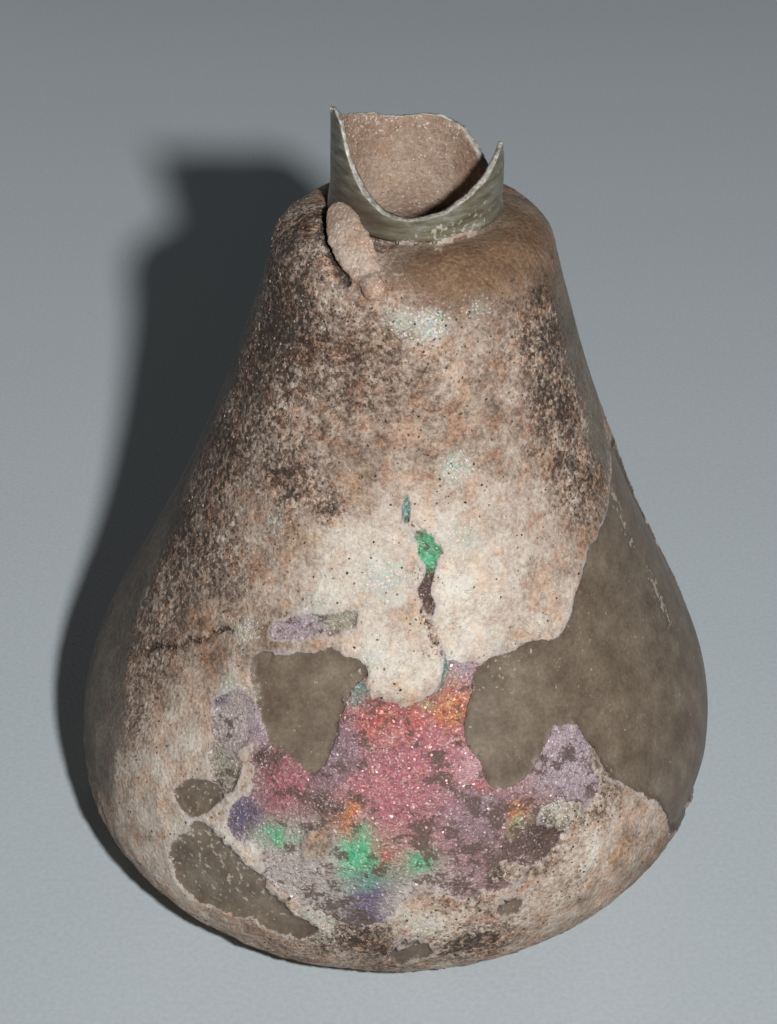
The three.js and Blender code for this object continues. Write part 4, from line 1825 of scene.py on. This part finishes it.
def covered_area(mesh: Mesh, spread: Array) -> float:
    """Add up a skin's area in square metres, each face by how thick the scatter lies there.

    Args:
        mesh: The skin's mesh.
        spread: How thick the scatter lies at each point, from 0 to 1.

    Returns:
        The area that counts.
    """
    areas = np.empty(len(mesh.polygons))
    mesh.polygons.foreach_get("area", areas)
    first = np.array([face.vertices[0] for face in mesh.polygons])
    return float(np.sum(areas * spread[first]))


def read_covers(mesh: Mesh, *names: str) -> list[Array]:
    """Read some of a mesh's attributes, one number for each point.

    Args:
        mesh: The mesh.
        names: The attributes' names.

    Returns:
        One list for each name.
    """
    lists = []
    for name in names:
        values = np.empty(len(mesh.vertices))
        mesh.attributes[name].data.foreach_get("value", values)
        lists.append(values)
    return lists


# ---------------------------------------------------------------------------------------------------
# Floor, light and camera


@dataclass(frozen=True)
class Studio:
    """A pale floor, a lamp just right of the camera, two faint ones low behind, and the camera itself."""

    form: FlaskForm
    floor_width: float = 16.0
    camera_place: tuple[float, float, float] = (-0.03, -5.0625, 4.4125)  # in bulb radii
    camera_target: tuple[float, float, float] = (-0.0175, 0, 1.115)
    lens: float = 70.2
    sensor: float = 36.0

    # Each lamp's name, its place and width in bulb radii, and its strength
    LAMPS = (
        ("soft_lamp", (0.88, -5.0, 4.6), 0.3, 11.4),
        ("back_fill_left", (-4.0, 9.0, 0.8), 1.4, 1.4),
        ("back_fill_right", (5.0, 9.0, 0.8), 1.4, 1.5),
    )

    def build(self) -> None:
        """Set everything up."""
        self._floor()
        for lamp in self.LAMPS:
            self._lamp(*lamp)
        self._sky()
        self._camera()

    def _floor(self) -> None:
        """Lay the floor."""
        half = self.floor_width / 2
        mesh = bpy.data.meshes.new("floor")
        corners = [(-half, -half, 0), (half, -half, 0), (half, half, 0), (-half, half, 0)]
        mesh.from_pydata(corners, [], [range(4)])
        mesh.materials.append(GreyPaper().build())
        floor = put("floor", mesh)

    def _lamp(self, name: str, place: tuple, size: float, strength: float) -> None:
        """Hang a soft round lamp that is as bright near by as far away.

        Args:
            name: Its name.
            place: Where it hangs, in bulb radii.
            size: Its width in bulb radii.
            strength: Its brightness.
        """
        lamp = bpy.data.lights.new(name, "AREA")
        lamp.shape = "DISK"
        lamp.size = size * self.form.bulb_radius * MM
        lamp.energy = 1.0
        lamp.use_nodes = True
        lamp.node_tree.nodes.clear()
        add = partial(add_node, lamp.node_tree)
        falloff = add("ShaderNodeLightFalloff", {"Strength": strength})
        emission = add("ShaderNodeEmission", {"Strength": falloff.outputs["Constant"]})
        add("ShaderNodeOutputLight", {"Surface": emission})
        self._aim(name, lamp, place, (0, 0, 1)).visible_camera = False

    def _sky(self) -> None:
        """Light the room evenly and faintly."""
        world = bpy.data.worlds.new("soft room")
        world.use_nodes = True
        background = world.node_tree.nodes["Background"]
        background.inputs["Color"].default_value = srgb("c4cace")
        background.inputs["Strength"].default_value = 0.05
        bpy.context.scene.world = world
        bpy.context.scene.view_settings.view_transform = "Standard"

    def _camera(self) -> None:
        """Stand the camera where it sees the flask from in front and above."""
        camera = bpy.data.cameras.new("camera")
        camera.lens = self.lens
        camera.sensor_width = self.sensor
        camera.clip_start = 0.01
        bpy.context.scene.camera = self._aim("camera", camera, self.camera_place, self.camera_target)

    def _aim(self, name: str, data: Any, place: tuple, target: tuple) -> Object:
        """Stand a lamp or camera somewhere and turn it towards a point, both in bulb radii.

        Args:
            name: Its name.
            data: Its lamp or camera data.
            place: Where it stands.
            target: The point that it looks at.

        Returns:
            The object.
        """
        thing = put(name, data)
        radius = self.form.bulb_radius
        start, end = (Vector(radius * share for share in point) for point in (place, target))
        thing.location = start * MM
        thing.rotation_euler = (end - start).to_track_quat("-Z", "Y").to_euler()
        return thing


def main() -> None:
    """Build every piece in turn."""
    logging.basicConfig(level=logging.INFO, format="%(name)s %(message)s")
    form = FlaskForm.from_frame(NODE)
    Studio(form).build()

    skin = FlaskSkin(form).build()
    settle(skin)
    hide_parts(NODE)

    loose = LooseCrust().build()
    settle(ShoulderFlake(form).build(), loose)

    bare, film, worn, soil, neck = read_covers(skin.data, "bare", "film", "worn", "soil", "neck")
    heights = np.array([vertex.co.z for vertex in skin.data.vertices]) / MM
    on_crust = (np.maximum(bare, film) < -MARGIN) & (worn < -1) & (neck == 0) & (heights > BARE_FOOT)
    crumbs = Scatter("crust_crumbs", skin, count=5000, width=0.28, flatness=0.5, tilt=0.5, seed=3)
    # Crumbs lie thicker where the soil blots lie, which are partly painted shade
    settle(crumbs.build(np.where(on_crust, 0.15 + np.clip(soil, 0, 1), 0), Crumbs().build()))
    on_film = (film > 0.1) & (bare < 0) & (neck == 0)
    thin = {"flatness": 0.08, "tilt": 0.3, "plates": True}
    scales = Scatter("film_scales", skin, count=3000, width=0.3, seed=4, **thin)
    settle(scales.build(on_film.astype(float), FilmScales().build()))


if __name__ == "__main__":
    main()
